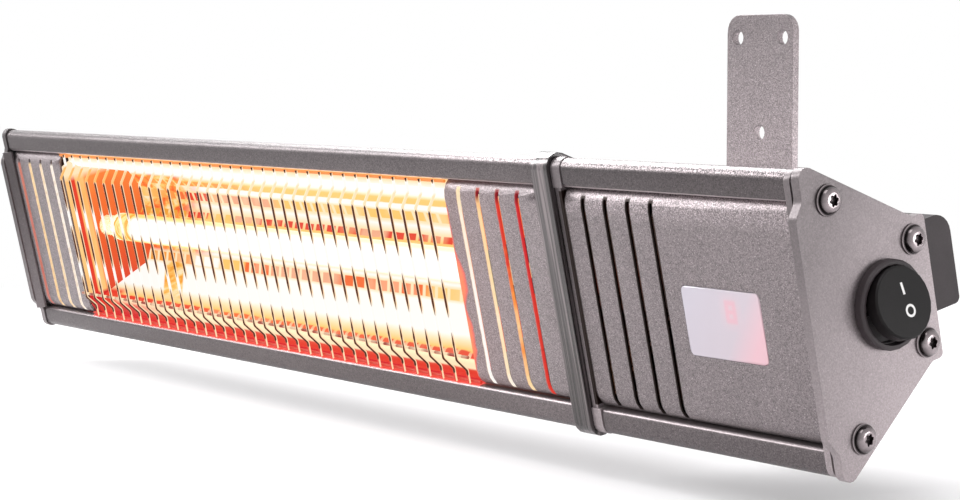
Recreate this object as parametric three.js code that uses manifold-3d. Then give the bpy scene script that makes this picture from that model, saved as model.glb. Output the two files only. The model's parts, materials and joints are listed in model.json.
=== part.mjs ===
// Wall-mounted infrared bar heater: a tilting aluminium profile with a lamp window, a control
// section with a round rocker switch, and a three-hole wall bracket with a friction pivot.
// Millimetres, +Z up. +X runs along the heater to its switch end, -Y faces the room and +Y the
// wall. The origin is the centre of the wall bracket's back face.
import * as THREE from 'three';
import { mergeVertices } from 'three/addons/utils/BufferGeometryUtils.js';
import Module from 'manifold-3d';

const wasm = await Module();
wasm.setup();

// ---------------------------------------------------------------- driving dimensions
const GAP = 0.3;                 // clearance between pieces that touch
const RUN_GAP = 0.3;             // clearance round anything that turns
const OVERSHOOT = 1;             // of a cutting solid past the face it cuts

// heater body, along its length (x = 0 is the outer face of the switch-end plate)
const BODY_LENGTH = 718.5;
const END_PLATE_T = 4.5;
const GASKET_T = 0.8;
const GASKET_INSET = 1.4;
const GASKET_W = 3.5;
const END_FRAME_T = 3.6;
const CONTROL_LENGTH = 140.4;    // profile of the control section
const RING_LIP_T = 6.5;          // pale joint ring, along the lips
const RING_PANEL_T = 4;          // and between the lips
const COLLAR_W = 11.9;           // dark joint collar
const COLLAR_FLANGE_T = 2;
const LEFT_PANEL_LENGTH = 64.4;  // slotted panels either side of the window
const RIGHT_PANEL_LENGTH = 71.7;

// heater body, cross-section (depth runs to the back from the front screws' line)
const HALF_HEIGHT = 65;
const LIP_FRONT = -13.6;
const LIP_ROUND = 5.2;
const ROOF_ANGLE = 32.6;         // fall of the roof from the lip to the back, degrees
const BACK_DEPTH = 53;
const FOOT_HALF = 31;            // half height of the flat back
const FOOT_ROUND = 2.2;
const PLATE_FRONT = -18.4;       // end plates stand forward between the lips
const COVE_INNER = 46.5;
const COVE_OUTER = 52.6;
const COVE_ROUND = 4;
const CAP_RIM_REACH = 3;         // the left cap's rim laps over the panel's end
const CAP_RIM_SETBACK = 1;
const CAP_RIM_EDGE = 1.2;
const SECTION_INSET = 0.6;       // profile inside the end plates' outline
const WALL = 2.2;
const LEDGE_HALF = 51.8;         // inner faces of the lips
const LEDGE_T = 2;
const LIP_EDGE_ROUND = 2.2;      // front edge of a lip, towards the panel
const COLLAR_PROUD = 1.8;
const COLLAR_DEEP = 9;           // depth of the joint pieces' frame, inward

// fixings of the end plates
const SCREW_FRONT_HALF = 50.05;
const SCREW_BACK = [44.1, 22.1]; // depth, half height
const SCREW_R = 2.4;
const SCREW_LENGTH = 20;
const SCREW_HEAD_R = 5.7;
const SCREW_HEAD_T = 3;
const SCREW_HEAD_SIDE = 1.2;     // upright part of the head, below the dome
const SCREW_DOME_R = 3.4;        // flat top of the dome
const SCREW_WASHER_R = 6.5;
const SCREW_WASHER_T = 1.1;
const RECESS_R = 2.7;
const RECESS_DEPTH = 1.8;
const RECESS_LOBE = 0.72;        // inner to outer radius of the six-lobe recess
const PORT_WALL = 1.5;

// back rails that the bracket clamps to
const RAIL_HALF = 11;
const RAIL_MOUTH = 6.6;
const RAIL_LIP = 1.8;
const RAIL_POCKET = 11.4;
const RAIL_DEPTH = 4.6;
const RAIL_WALL = 2;

// front panels
const PANEL_FRONT = -12.6;
const PANEL_T = 1.5;
const PANEL_ROLL = 10;
const PANEL_ROLL_ANGLE = 55;
const SLOT_COUNT = 4;
const SLOT_W = 2.5;
const SLOT_HALF = 48.6;
const SLOT_UP = -1.2;
const SLOT_PITCH = 15.1;
const SLOT_TO_WINDOW_LEFT = 11.2;
const SLOT_TO_WINDOW_RIGHT = 11.4;
const CONTROL_SLOT_MARGIN = 13.3;

// display window
const DISPLAY_W = 48.4;
const DISPLAY_H = 31.6;
const DISPLAY_ROUND = 3;
const DISPLAY_FROM_PLATE = 48.6; // its middle, from the panel's switch-side edge
const DISPLAY_UP = -3.5;
const LENS_RIM = 2.4;
const LENS_RIM_T = 1.2;

// wire guard
const WIRE_PITCH = 11.1;
const WIRE_MARGIN = 8;
const WIRE_T = 1.5;
const GUARD_FRONT = -17.9;
const GUARD_BACK = -12.9;
const GUARD_BEND_OUT = 38;
const GUARD_BEND_IN = 44.6;
const RAIL_ROD_T = 1.6;

// reflector and lamp
const SHEET_T = 1;
const REFLECTOR = [
  // inner face, upper half: depth, half height
  [-5.6, 51.1],
  [-5.6, 45.5],
  [0, 41],
  [33, 29.5],
  [39.5, 17],
  [39.5, 8],
  [34, 0],
];
const LAMP_DEPTH = 12;
const LAMP_R = 8.5;
const LAMP_WALL = 1.2;
const LAMP_TO_WINDOW = 22;       // clear of the reflector's ends
const CAP_R = 6.2;
const CAP_NECK_R = 4.8;
const CAP_NECK = 12;
const CAP_BEHIND = 18;
const CAP_NECK_TAPER = 2;
const CAP_SHOULDER = 5;          // full-width part outside the tube
const CAP_SHOULDER_TAPER = 2;
const FILAMENT_W = 4.6;
const FILAMENT_T = 1;
const FILAMENT_TWIST_LENGTH = 56;
const HOLDER_T = 1.6;
const HOLDER_HALF = 14;
const HOLDER_FOOT = 14;
const HOLDER_BACK = 9;           // behind the reflector's end

// rocker switch
const SWITCH_DEPTH = 24.2;
const SWITCH_R = 18.8;
const SWITCH_RIM_R = 18;
const SWITCH_RIM_H = 4.7;
const SWITCH_POCKET_R = 16.5;    // room for the rocker's tilt
const SWITCH_WELL_R = 15.7;      // the pocket goes on into the neck
const SWITCH_WELL_DEPTH = 1.6;
const SWITCH_NECK_R = 16.8;
const SWITCH_NECK_LENGTH = 24;
const ROCKER_R = 15.3;
const ROCKER_EDGE = 0.7;
const ROCKER_FOOT_R = 10;
const ROCKER_FOOT = 1;           // below the pivot
const ROCKER_SIDE = 1.9;         // above the pivot, where the straight side begins
const ROCKER_PIVOT = 2.7;        // out from the end plate
const ROCKER_RISE = 7.9;
const ROCKER_TILT = 13;
const ROCKER_PIN_R = 1;
const ROCKER_PIN_SEAT = 0.9;     // depth of a pin in the base's wall

// box on the back of the control section
const BOX_FROM_END = 12;
const BOX_LENGTH = 60;
const BOX_TOP = 24.3;
const BOX_BOTTOM = -16;
const BOX_BACK = 80.2;
const BOX_ROUND_TOP = 9;
const BOX_ROUND_BOTTOM = 2.8;
const BOX_WALL = 2.4;
const BOX_BOSS_R = 4.4;
const BOX_SCREW_R = 1.8;
const BOX_SCREW_HEAD_R = 3.2;
const BOX_SCREW_HEAD_T = 1.8;
const BOX_SCREW_SINK = 2.2;
const BOX_SCREW_FROM_SIDE = 12;
const GLAND_R = 8;
const GLAND_LENGTH = 14;
const GLAND_HEX_T = 5;
const GLAND_NECK_R = 6;
const GLAND_NECK_PAST = 3;       // neck inside the box
const GLAND_BORE_R = 4.2;

// control electronics
const BOARD_LENGTH = 96;
const BOARD_HALF = 28;
const BOARD_T = 1.6;
const BOARD_DEPTH = 24;
const RELAY = { at: -26, length: 26, height: 14, span: [-22, 4] };
const DRIVER = { at: 4, length: 14, height: 10, span: [-20, -4] };
const CAPACITOR = { at: 28, radius: 6, height: 12, up: -14 };
const TRAY_T = 2;
const TRAY_HALF = 15;
const POST_R = 2.5;
const DISPLAY_BOARD_T = 6;

// wall bracket
const BRACKET_W = 47.2;
const BRACKET_H = 140;
const BRACKET_T = 4;
const BRACKET_CORNER = 8.5;
const BRACKET_BEND = 5.5;
const BRACKET_HOLE_R = 3.75;
const BRACKET_HOLE_SPAN = 31.8;
const BRACKET_HOLE_DROP = 11.5;  // upper pair, below the top edge
const BRACKET_LOW_DROP = 58.9;   // single lower hole
const BRACKET_FROM_END = 194.8;  // bracket's middle from the switch-end plate
const EAR_TOP = 18;              // below the plate's middle
const PIVOT_REACH = 61.6;        // pivot out from the wall
const PIVOT_DROP = 39.6;         // pivot below the plate's middle
const PIVOT_R = 4;
const EAR_R = 13;
const EAR_CORNER = 6;

// bracket half on the heater
const PIVOT_DEPTH = 82;          // pivot behind the front screws' line
const SADDLE_T = 3;
const SADDLE_HALF = 19;
const SADDLE_BEND = 4.5;
const SADDLE_EAR_R = 12;
const SADDLE_CORNER = 5;
const SPACER_T = 1.2;
const SPACER_R = 9;
const WASHER_T = 1.6;
const WASHER_R = 8.2;
const HEX_R = 7.5;
const HEX_T = 5.3;
const NUT_T = 6.5;
const BOLT_END = 3;
const CLAMP_R = 3;
const CLAMP_HEAD_R = 5;
const CLAMP_HEAD_T = 4;
const SLOT_NUT_T = 3.4;

const REST_TILT = 12.6;          // the window faces down by this angle at rest

// ---------------------------------------------------------------- stations along the body
const rightPlate = [-END_PLATE_T, 0];
const rightGasket = before(rightPlate, GASKET_T);
const endFrame = before(rightGasket, END_FRAME_T);
const controlSpan = before(endFrame, CONTROL_LENGTH);
const ringSpan = before(controlSpan, RING_LIP_T);
const collarSpan = before(ringSpan, COLLAR_W);
const flangeSpan = before(collarSpan, COLLAR_FLANGE_T);
const leftPlate = [-BODY_LENGTH, -BODY_LENGTH + END_PLATE_T];
const leftGasket = [leftPlate[1] + GAP, leftPlate[1] + GAP + GASKET_T];
const heaterSpan = [leftGasket[1] + GAP, flangeSpan[0] - GAP];
const windowSpan = [heaterSpan[0] + LEFT_PANEL_LENGTH, heaterSpan[1] - RIGHT_PANEL_LENGTH];
const controlPanelSpan = [ringSpan[0] + RING_PANEL_T + GAP, controlSpan[1]];
const bodyFace = BACK_DEPTH - SECTION_INSET;

function before(span, length) {
  return [span[0] - GAP - length, span[0] - GAP];
}

// ---------------------------------------------------------------- materials
const material = (color, roughness, metalness, extra = {}) =>
  new THREE.MeshStandardMaterial({ color, roughness, metalness, ...extra });
const silver = material(0x8f8d8c, 0.5, 0.8);
const silverPlain = material(0x9b9895, 0.45, 0.6);
const darkTrim = material(0x37332f, 0.35, 0.4);
const blackPlastic = material(0x1d1c1d, 0.5, 0);
const rubber = material(0x2a2a2a, 0.8, 0);
const steel = material(0x8d8a86, 0.3, 1);
const mirrorSheet = material(0xd8b27a, 0.2, 1);
const lampGlass = material(0xf6b24a, 0.15, 0.1, { emissive: 0xffb060 });
const glow = material(0xfff2d8, 0.4, 0, { emissive: 0xffe0a0 });
const ceramic = material(0xe6dcc8, 0.6, 0);
const wire = material(0x6b4a32, 0.4, 1);
const lensWhite = material(0xdcd8e2, 0.25, 0);
const circuit = material(0x1f4a33, 0.6, 0);
const nylon = material(0x202020, 0.6, 0);

// ---------------------------------------------------------------- solids
const X = new THREE.Vector3(1, 0, 0);
const Y = new THREE.Vector3(0, 1, 0);
const Z = new THREE.Vector3(0, 0, 1);

// A closed solid from a three.js geometry: shared vertices merged, faces turned outward.
function solid(geometry) {
  geometry.deleteAttribute('normal');
  geometry.deleteAttribute('uv');
  const merged = mergeVertices(geometry, 1e-4);
  const source = merged.index.array;
  const faces = [];
  for (let i = 0; i < source.length; i += 3) {
    const [a, b, c] = [source[i], source[i + 1], source[i + 2]];
    if (a !== b && b !== c && c !== a) faces.push(a, b, c);
  }
  const position = merged.attributes.position;
  const corner = [new THREE.Vector3(), new THREE.Vector3(), new THREE.Vector3()];
  let volume = 0;
  for (let i = 0; i < faces.length; i += 3) {
    corner.forEach((v, k) => v.fromBufferAttribute(position, faces[i + k]));
    volume += corner[0].dot(corner[1].clone().cross(corner[2]));
  }
  if (volume < 0) faces.reverse();
  return new wasm.Manifold(new wasm.Mesh({
    numProp: 3,
    vertProperties: Float32Array.from(position.array),
    triVerts: Uint32Array.from(faces),
  }));
}

function geometryOf(body) {
  const mesh = body.getMesh();
  const geometry = new THREE.BufferGeometry();
  const step = mesh.numProp;
  const count = mesh.vertProperties.length / step;
  const points = new Float32Array(count * 3);
  for (let i = 0; i < count; i += 1) {
    for (let k = 0; k < 3; k += 1) points[3 * i + k] = mesh.vertProperties[step * i + k];
  }
  geometry.setAttribute('position', new THREE.BufferAttribute(points, 3));
  geometry.setIndex(Array.from(mesh.triVerts));
  geometry.computeVertexNormals();
  return geometry;
}

function piece(name, body, finish) {
  const mesh = new THREE.Mesh(geometryOf(body), finish);
  mesh.name = name;
  return mesh;
}

const join = (parts) => parts.reduce((sum, part) => sum.add(part));
const cut = (body, tools) => tools.reduce((rest, tool) => rest.subtract(tool), body);

// Outline with rounded corners: each point is [u, v] or [u, v, radius].
function rounded(points, step = 26) {
  const out = [];
  points.forEach(([u, v, radius = 0], i) => {
    const here = new THREE.Vector2(u, v);
    const last = points[(i + points.length - 1) % points.length];
    const next = points[(i + 1) % points.length];
    const into = here.clone().sub(new THREE.Vector2(last[0], last[1]));
    const away = new THREE.Vector2(next[0], next[1]).sub(here);
    const room = 0.49 * Math.min(into.length(), away.length());
    into.normalize();
    away.normalize();
    const turn = Math.atan2(into.cross(away), into.dot(away));
    const reach = Math.min(radius * Math.tan(Math.abs(turn) / 2), room);
    if (reach < 1e-6 || Math.abs(turn) < 1e-6) {
      out.push(here);
      return;
    }
    const r = reach / Math.tan(Math.abs(turn) / 2);
    const side = new THREE.Vector2(-into.y, into.x).multiplyScalar(Math.sign(turn));
    const start = here.clone().addScaledVector(into, -reach);
    const centre = start.clone().addScaledVector(side, r);
    const steps = Math.max(1, Math.round(THREE.MathUtils.radToDeg(Math.abs(turn)) / step));
    for (let k = 0; k <= steps; k += 1) {
      out.push(start.clone().rotateAround(centre, (turn * k) / steps));
    }
  });
  return out;
}

function extrude(outline, depth, basis, place) {
  const shape = new THREE.Shape(outline);
  const geometry = new THREE.ExtrudeGeometry(shape, { depth, bevelEnabled: false, steps: 1 });
  geometry.applyMatrix4(new THREE.Matrix4().makeBasis(...basis));
  geometry.translate(...place);
  return solid(geometry);
}

// Prisms along each axis; outlines are (y, z), (x, z) and (x, y).
const prismX = (outline, [x0, x1]) => extrude(outline, x1 - x0, [Y, Z, X], [x0, 0, 0]);
const prismY = (outline, [y0, y1]) =>
  extrude(outline, y1 - y0, [X, Z, Y.clone().negate()], [0, y1, 0]);
const prismZ = (outline, [z0, z1]) => extrude(outline, z1 - z0, [X, Y, Z], [0, 0, z0]);

function block([x0, x1], [y0, y1], [z0, z1]) {
  const geometry = new THREE.BoxGeometry(x1 - x0, y1 - y0, z1 - z0);
  geometry.translate((x0 + x1) / 2, (y0 + y1) / 2, (z0 + z1) / 2);
  return solid(geometry);
}

// Round bars along each axis. A bore's flats lie on its radius, so a bar never fouls it.
function bar(radius, length, sides, turn, place) {
  const geometry = new THREE.CylinderGeometry(radius, radius, length, sides);
  turn(geometry);
  geometry.translate(...place);
  return solid(geometry);
}
const flats = (radius, sides) => radius / Math.cos(Math.PI / sides);
const barX = (radius, [x0, x1], y, z, sides = 16) =>
  bar(radius, x1 - x0, sides, (g) => g.rotateZ(-Math.PI / 2), [(x0 + x1) / 2, y, z]);
const barY = (radius, [y0, y1], x, z, sides = 16) =>
  bar(radius, y1 - y0, sides, (g) => g, [x, (y0 + y1) / 2, z]);
const boreX = (radius, span, y, z, sides = 16) => barX(flats(radius, sides), span, y, z, sides);
const boreY = (radius, span, x, z, sides = 16) => barY(flats(radius, sides), span, x, z, sides);

// Turned piece about the x axis: profile points are [radius, x].
function turned(profile, sides = 16) {
  const geometry = new THREE.LatheGeometry(profile.map(([r, x]) => new THREE.Vector2(r, x)), sides);
  geometry.rotateZ(-Math.PI / 2);
  return solid(geometry);
}

// ---------------------------------------------------------------- cross-section of the body
const slope = THREE.MathUtils.degToRad(ROOF_ANGLE);

// Roof and back, upper half, at a distance inside the end plates' outline.
function roofHalf(inset) {
  const radius = LIP_ROUND - inset;
  const centre = [LIP_FRONT + LIP_ROUND, HALF_HEIGHT - LIP_ROUND];
  const top = FOOT_HALF - inset;
  const shoulder = centre[0] +
    (radius - Math.cos(slope) * (top - centre[1])) / Math.sin(slope);
  const corner = centre[1] + (radius * (1 + Math.sin(slope))) / Math.cos(slope);
  return [
    [LIP_FRONT + inset, corner, Math.max(radius, 0.4)],
    [shoulder, top, 2],
    [BACK_DEPTH - inset, top, Math.max(FOOT_ROUND - inset, 0.4)],
  ];
}

const mirrored = (half) => half.map(([d, h, r]) => [d, -h, r]).reverse();
const wholeOutline = (half) => rounded([...half, ...mirrored(half)]);

function endPlateOutline() {
  return wholeOutline([
    [PLATE_FRONT, COVE_INNER, COVE_ROUND],
    [LIP_FRONT, COVE_OUTER, COVE_ROUND],
    ...roofHalf(0),
  ]);
}

const plainOutline = (inset) => wholeOutline(roofHalf(inset));

// Back rail pocket seen from the back face, upper rail, from its outer edge to its inner one.
function railMouth() {
  const floor = bodyFace - RAIL_LIP;
  const top = RAIL_HALF + RAIL_MOUTH / 2;
  const wide = RAIL_HALF + RAIL_POCKET / 2;
  const [low, narrow] = [2 * RAIL_HALF - top, 2 * RAIL_HALF - wide];
  return [
    [bodyFace, top], [floor, top], [floor, wide], [floor - RAIL_DEPTH, wide],
    [floor - RAIL_DEPTH, narrow], [floor, narrow], [floor, low], [bodyFace, low],
  ];
}

const railStep = bodyFace - RAIL_LIP - RAIL_DEPTH - RAIL_WALL;

// Open-fronted profile: lips, roof, floor and a back with two rails.
function housingOutline() {
  const outer = [
    [LIP_FRONT + SECTION_INSET, LEDGE_HALF, LIP_EDGE_ROUND],
    ...roofHalf(SECTION_INSET),
    ...railMouth(),
  ];
  const inner = roofHalf(SECTION_INSET + WALL);
  const back = bodyFace - WALL;
  const railTop = RAIL_HALF + RAIL_POCKET / 2 + RAIL_WALL;
  const inside = [
    [LIP_FRONT + SECTION_INSET + WALL, LEDGE_HALF + LEDGE_T],
    inner[0],
    [inner[1][0], inner[1][1], 1],
    [back, inner[2][1], 1],
    [back, railTop],
    [railStep, railTop],
  ];
  const ledgeEnd = [[0, LEDGE_HALF + LEDGE_T], [0, LEDGE_HALF]];
  return rounded([
    ...outer, ...mirrored(outer),
    ...mirrored(ledgeEnd), ...mirrored(inside).reverse(),
    ...inside.slice().reverse(), ...ledgeEnd,
  ]);
}

const screwPlaces = [
  [0, SCREW_FRONT_HALF],
  [SCREW_BACK[0], SCREW_BACK[1]],
  [SCREW_BACK[0], -SCREW_BACK[1]],
  [0, -SCREW_FRONT_HALF],
];

// Screw ports run the whole length of the profile, each tied to the nearest wall by a web.
function screwPorts(span) {
  const r = SCREW_R + GAP + PORT_WALL;
  const roofIn = roofHalf(SECTION_INSET + WALL / 2);
  const parts = [];
  for (const side of [1, -1]) {
    const front = [LEDGE_HALF + LEDGE_T / 2, roofAt(0, SECTION_INSET + WALL / 2)];
    parts.push(barX(r, span, 0, side * SCREW_FRONT_HALF, 10));
    parts.push(block(span, [-PORT_WALL / 2, PORT_WALL / 2], ordered(side * front[0], side * front[1])));
    parts.push(barX(r, span, SCREW_BACK[0], side * SCREW_BACK[1], 10));
    parts.push(block(span, [SCREW_BACK[0], roofIn[2][0]], centred(side * SCREW_BACK[1], PORT_WALL)));
  }
  return parts;
}

const ordered = (a, b) => [Math.min(a, b), Math.max(a, b)];
const centred = (middle, width) => [middle - width / 2, middle + width / 2];
const past = (span) => [span[0] - OVERSHOOT, span[1] + OVERSHOOT];

// Height of the roof line above a given depth.
function roofAt(depth, inset) {
  const centre = [LIP_FRONT + LIP_ROUND, HALF_HEIGHT - LIP_ROUND];
  return centre[1] + (LIP_ROUND - inset - Math.sin(slope) * (depth - centre[0])) / Math.cos(slope);
}

const screwBores = (span, radius) =>
  screwPlaces.map(([d, h]) => boreX(radius, past(span), d, h, 10));

function housing(span) {
  const profile = prismX(housingOutline(), span);
  return cut(join([profile, ...screwPorts(span)]), screwBores(span, SCREW_R + GAP));
}

// ---------------------------------------------------------------- ends and joint pieces
const frameOpening = (inset) => plainOutline(inset + COLLAR_DEEP);

function endPlate(span) {
  return cut(prismX(endPlateOutline(), span), screwBores(span, SCREW_R + GAP));
}

// Left cap: between the lips a sloping rim covers the gap to the panel.
function leftEndCap() {
  const lap = heaterSpan[0] + CAP_RIM_REACH;
  const back = PANEL_FRONT - GAP;
  const outline = [
    [leftPlate[1] - 1, back], [leftPlate[1] - 1, PLATE_FRONT + CAP_RIM_SETBACK],
    [leftPlate[1], PLATE_FRONT + CAP_RIM_SETBACK], [lap, back - CAP_RIM_EDGE], [lap, back],
  ].map(([x, d]) => new THREE.Vector2(x, d));
  const half = LEDGE_HALF - GAP;
  return endPlate(leftPlate).add(prismZ(outline, [-half, half]));
}

function switchEndPlate() {
  const hole = boreX(SWITCH_NECK_R + GAP, past(rightPlate), SWITCH_DEPTH, 0, 24);
  return endPlate(rightPlate).subtract(hole);
}

// Flat frame with the profile's outline; corner pads carry the screws.
function frame(span, inset) {
  const through = past(span);
  const ring = prismX(plainOutline(inset), span).subtract(prismX(frameOpening(inset), through));
  const pads = screwPlaces.map(([d, h]) => barX(SCREW_HEAD_R, span, d, h, 8));
  return cut(join([ring, ...pads]), screwBores(span, SCREW_R + GAP));
}

// Plain ring of the profile's outline.
function joinFrame(span, inset, opening = COLLAR_DEEP) {
  const through = past(span);
  return prismX(plainOutline(inset), span).subtract(prismX(plainOutline(opening), through));
}

const gasket = (span) => joinFrame(span, GASKET_INSET, GASKET_INSET + GASKET_W);

// Pale ring beside the collar: its lip parts reach further than the part between the lips,
// which lies flush with the panel.
function collarRing() {
  const between = centred(0, 2 * LEDGE_HALF);
  const beside = [ringSpan[0] + RING_PANEL_T, ringSpan[1] + 1];
  const panelRoom = block(beside, [LIP_FRONT - 1, LIP_FRONT + 1.5 * COLLAR_DEEP], between);
  const proud = block([ringSpan[0] - 1, ringSpan[1] + 1], [LIP_FRONT - 1, PANEL_FRONT], between);
  return cut(joinFrame(ringSpan, 0), [panelRoom, proud]);
}

function endScrew() {
  const top = SCREW_WASHER_T + SCREW_HEAD_T;
  const shaft = turned([
    [0, -SCREW_LENGTH], [SCREW_R, -SCREW_LENGTH], [SCREW_R, GAP], [SCREW_WASHER_R, GAP],
    [SCREW_WASHER_R, SCREW_WASHER_T], [SCREW_HEAD_R, SCREW_WASHER_T],
    [SCREW_HEAD_R, SCREW_WASHER_T + SCREW_HEAD_SIDE], [SCREW_DOME_R, top], [0, top],
  ], 11);
  const star = [];
  for (let i = 0; i < 12; i += 1) {
    const r = RECESS_R * (i % 2 ? RECESS_LOBE : 1);
    star.push(new THREE.Vector2(r * Math.cos((i * Math.PI) / 6), r * Math.sin((i * Math.PI) / 6)));
  }
  return shaft.subtract(prismX(star, [top - RECESS_DEPTH, top + 1]));
}

function endScrews() {
  const shape = endScrew();
  const turnedRound = shape.rotate([0, 0, 180]);
  const meshes = [];
  screwPlaces.forEach(([d, h], i) => {
    meshes.push(piece(`end_screw_right_${i + 1}`, shape.translate([0, d, h]), steel));
    const placed = turnedRound.translate([leftPlate[0], d, h]);
    meshes.push(piece(`end_screw_left_${i + 1}`, placed, steel));
  });
  return meshes;
}

// ---------------------------------------------------------------- front panels
// Sheet with a flat face and edges rolled back under the lips.
function panelSheet(span) {
  const end = THREE.MathUtils.degToRad(PANEL_ROLL_ANGLE);
  const start = rollStart();
  const outer = [];
  const inner = [];
  for (let k = 0; k <= 3; k += 1) {
    const a = (end * k) / 3;
    const small = PANEL_ROLL - PANEL_T;
    const centre = PANEL_FRONT + PANEL_ROLL;
    outer.push([centre - PANEL_ROLL * Math.cos(a), start + PANEL_ROLL * Math.sin(a)]);
    inner.push([centre - small * Math.cos(a), start + small * Math.sin(a)]);
  }
  const outline = [
    ...mirrored(outer), ...outer,
    ...inner.slice().reverse(), ...mirrored(inner).reverse(),
  ];
  return prismX(outline.map(([d, h]) => new THREE.Vector2(d, h)), span);
}

// Half height at which a panel's face starts to roll back.
function rollStart() {
  return LEDGE_HALF - GAP - PANEL_ROLL * Math.sin(THREE.MathUtils.degToRad(PANEL_ROLL_ANGLE));
}

function slot(x) {
  const half = SLOT_W / 2;
  const outline = rounded([
    [x - half, SLOT_UP - SLOT_HALF, half], [x + half, SLOT_UP - SLOT_HALF, half],
    [x + half, SLOT_UP + SLOT_HALF, half], [x - half, SLOT_UP + SLOT_HALF, half],
  ], 45);
  return prismY(outline, past([PANEL_FRONT, PANEL_FRONT + PANEL_ROLL]));
}

function slots(first, direction) {
  return Array.from({ length: SLOT_COUNT }, (_, i) => slot(first + direction * i * SLOT_PITCH));
}

function leftPanel() {
  const first = windowSpan[0] - SLOT_TO_WINDOW_LEFT;
  return cut(panelSheet([heaterSpan[0], windowSpan[0]]), slots(first, -1));
}

function rightPanel() {
  const first = windowSpan[1] + SLOT_TO_WINDOW_RIGHT;
  return cut(panelSheet([windowSpan[1], heaterSpan[1]]), slots(first, 1));
}

const displayMiddle = controlPanelSpan[1] - DISPLAY_FROM_PLATE;

function displayOutline(grow) {
  const [w, h] = [DISPLAY_W / 2 + grow, DISPLAY_H / 2 + grow];
  const r = DISPLAY_ROUND + grow;
  return rounded([
    [displayMiddle - w, DISPLAY_UP - h, r], [displayMiddle + w, DISPLAY_UP - h, r],
    [displayMiddle + w, DISPLAY_UP + h, r], [displayMiddle - w, DISPLAY_UP + h, r],
  ], 30);
}

function controlPanel() {
  const opening = prismY(displayOutline(0), past([PANEL_FRONT, PANEL_FRONT + PANEL_T]));
  const vents = slots(controlPanelSpan[0] + CONTROL_SLOT_MARGIN, 1);
  return cut(panelSheet(controlPanelSpan), [opening, ...vents]);
}

function displayLens() {
  const back = PANEL_FRONT + PANEL_T + GAP;
  const face = prismY(displayOutline(-GAP), [PANEL_FRONT, back + 0.2]);
  return face.add(prismY(displayOutline(LENS_RIM), [back, back + LENS_RIM_T]));
}

// ---------------------------------------------------------------- wire guard
// One wire of square section: straight front, bent back at both ends.
function guardWire(x) {
  const end = LEDGE_HALF - GAP;
  const front = [
    [GUARD_BACK, -end], [GUARD_BACK, -GUARD_BEND_IN], [GUARD_FRONT, -GUARD_BEND_OUT],
    [GUARD_FRONT, GUARD_BEND_OUT], [GUARD_BACK, GUARD_BEND_IN], [GUARD_BACK, end],
  ];
  const rear = front.map(([d, h]) => [d + WIRE_T, h - Math.sign(h) * wireShift(h)]).reverse();
  const outline = [...front, ...rear].map(([d, h]) => new THREE.Vector2(d, h));
  return prismX(outline, centred(x, WIRE_T));
}

// Keeps a bent wire's thickness on its slanted run.
function wireShift(h) {
  if (Math.abs(h) > GUARD_BEND_IN) return 0;
  const lean = Math.atan2(GUARD_BACK - GUARD_FRONT, GUARD_BEND_IN - GUARD_BEND_OUT);
  return WIRE_T * Math.tan(lean / 2);
}

function wireGuard() {
  const span = [windowSpan[0] + GAP, windowSpan[1] - GAP];
  const room = span[1] - span[0] - 2 * WIRE_MARGIN;
  const count = Math.round(room / WIRE_PITCH) + 1;
  const wires = Array.from({ length: count }, (_, i) =>
    guardWire(span[0] + WIRE_MARGIN + (room * i) / (count - 1)));
  const rods = [];
  const foot = [GUARD_BACK + WIRE_T / 2, GUARD_BACK + WIRE_T / 2 + RAIL_ROD_T];
  const end = LEDGE_HALF - GAP;
  for (const side of [1, -1]) {
    rods.push(block(span, foot, ordered(side * (end - RAIL_ROD_T), side * end)));
  }
  const bend = [GUARD_FRONT + WIRE_T / 2, GUARD_FRONT + WIRE_T / 2 + RAIL_ROD_T];
  rods.push(block(span, bend, centred(-GUARD_BEND_OUT + RAIL_ROD_T, RAIL_ROD_T)));
  return join([...rods, ...wires]);
}

// ---------------------------------------------------------------- reflector and lamp
function offsetLine(points, distance) {
  return points.map(([d, h], i) => {
    const a = points[Math.max(i - 1, 0)];
    const b = points[Math.min(i + 1, points.length - 1)];
    const into = new THREE.Vector2(d - a[0], h - a[1]);
    const away = new THREE.Vector2(b[0] - d, b[1] - h);
    if (into.length() < 1e-9) into.copy(away);
    if (away.length() < 1e-9) away.copy(into);
    const normal = into.normalize().clone().add(away.normalize());
    normal.set(-normal.y, normal.x).normalize();
    const spread = normal.dot(new THREE.Vector2(-into.y, into.x));
    return [d + (normal.x * distance) / spread, h + (normal.y * distance) / spread];
  });
}

function reflectorLine() {
  return [...REFLECTOR, ...mirrored(REFLECTOR).slice(1)];
}

const reflectorSpan = [windowSpan[0] + GAP, windowSpan[1] - GAP];

function reflector() {
  const inner = reflectorLine();
  const outer = offsetLine(inner, SHEET_T);
  const outline = [...inner, ...outer.reverse()];
  return prismX(outline.map(([d, h]) => new THREE.Vector2(d, h)), reflectorSpan);
}

// End sheet of the reflector, reaching forward to the panel's back.
function reflectorEnd(x) {
  const reach = PANEL_FRONT + PANEL_T + GAP;
  const edge = offsetLine(reflectorLine(), SHEET_T);
  const trough = edge.slice(1, -1);
  const outline = [[reach, rollStart() - GAP], ...trough, [reach, GAP - rollStart()]];
  const sheet = prismX(outline.map(([d, h]) => new THREE.Vector2(d, h)), [x, x + SHEET_T]);
  return sheet.subtract(boreX(CAP_R + GAP, past([x, x + SHEET_T]), LAMP_DEPTH, 0, 16));
}

const lampSpan = [windowSpan[0] + LAMP_TO_WINDOW, windowSpan[1] - LAMP_TO_WINDOW];

function lampTube() {
  const inner = boreX(LAMP_R - LAMP_WALL, past(lampSpan), LAMP_DEPTH, 0, 20);
  return barX(LAMP_R, lampSpan, LAMP_DEPTH, 0, 20).subtract(inner);
}

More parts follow.
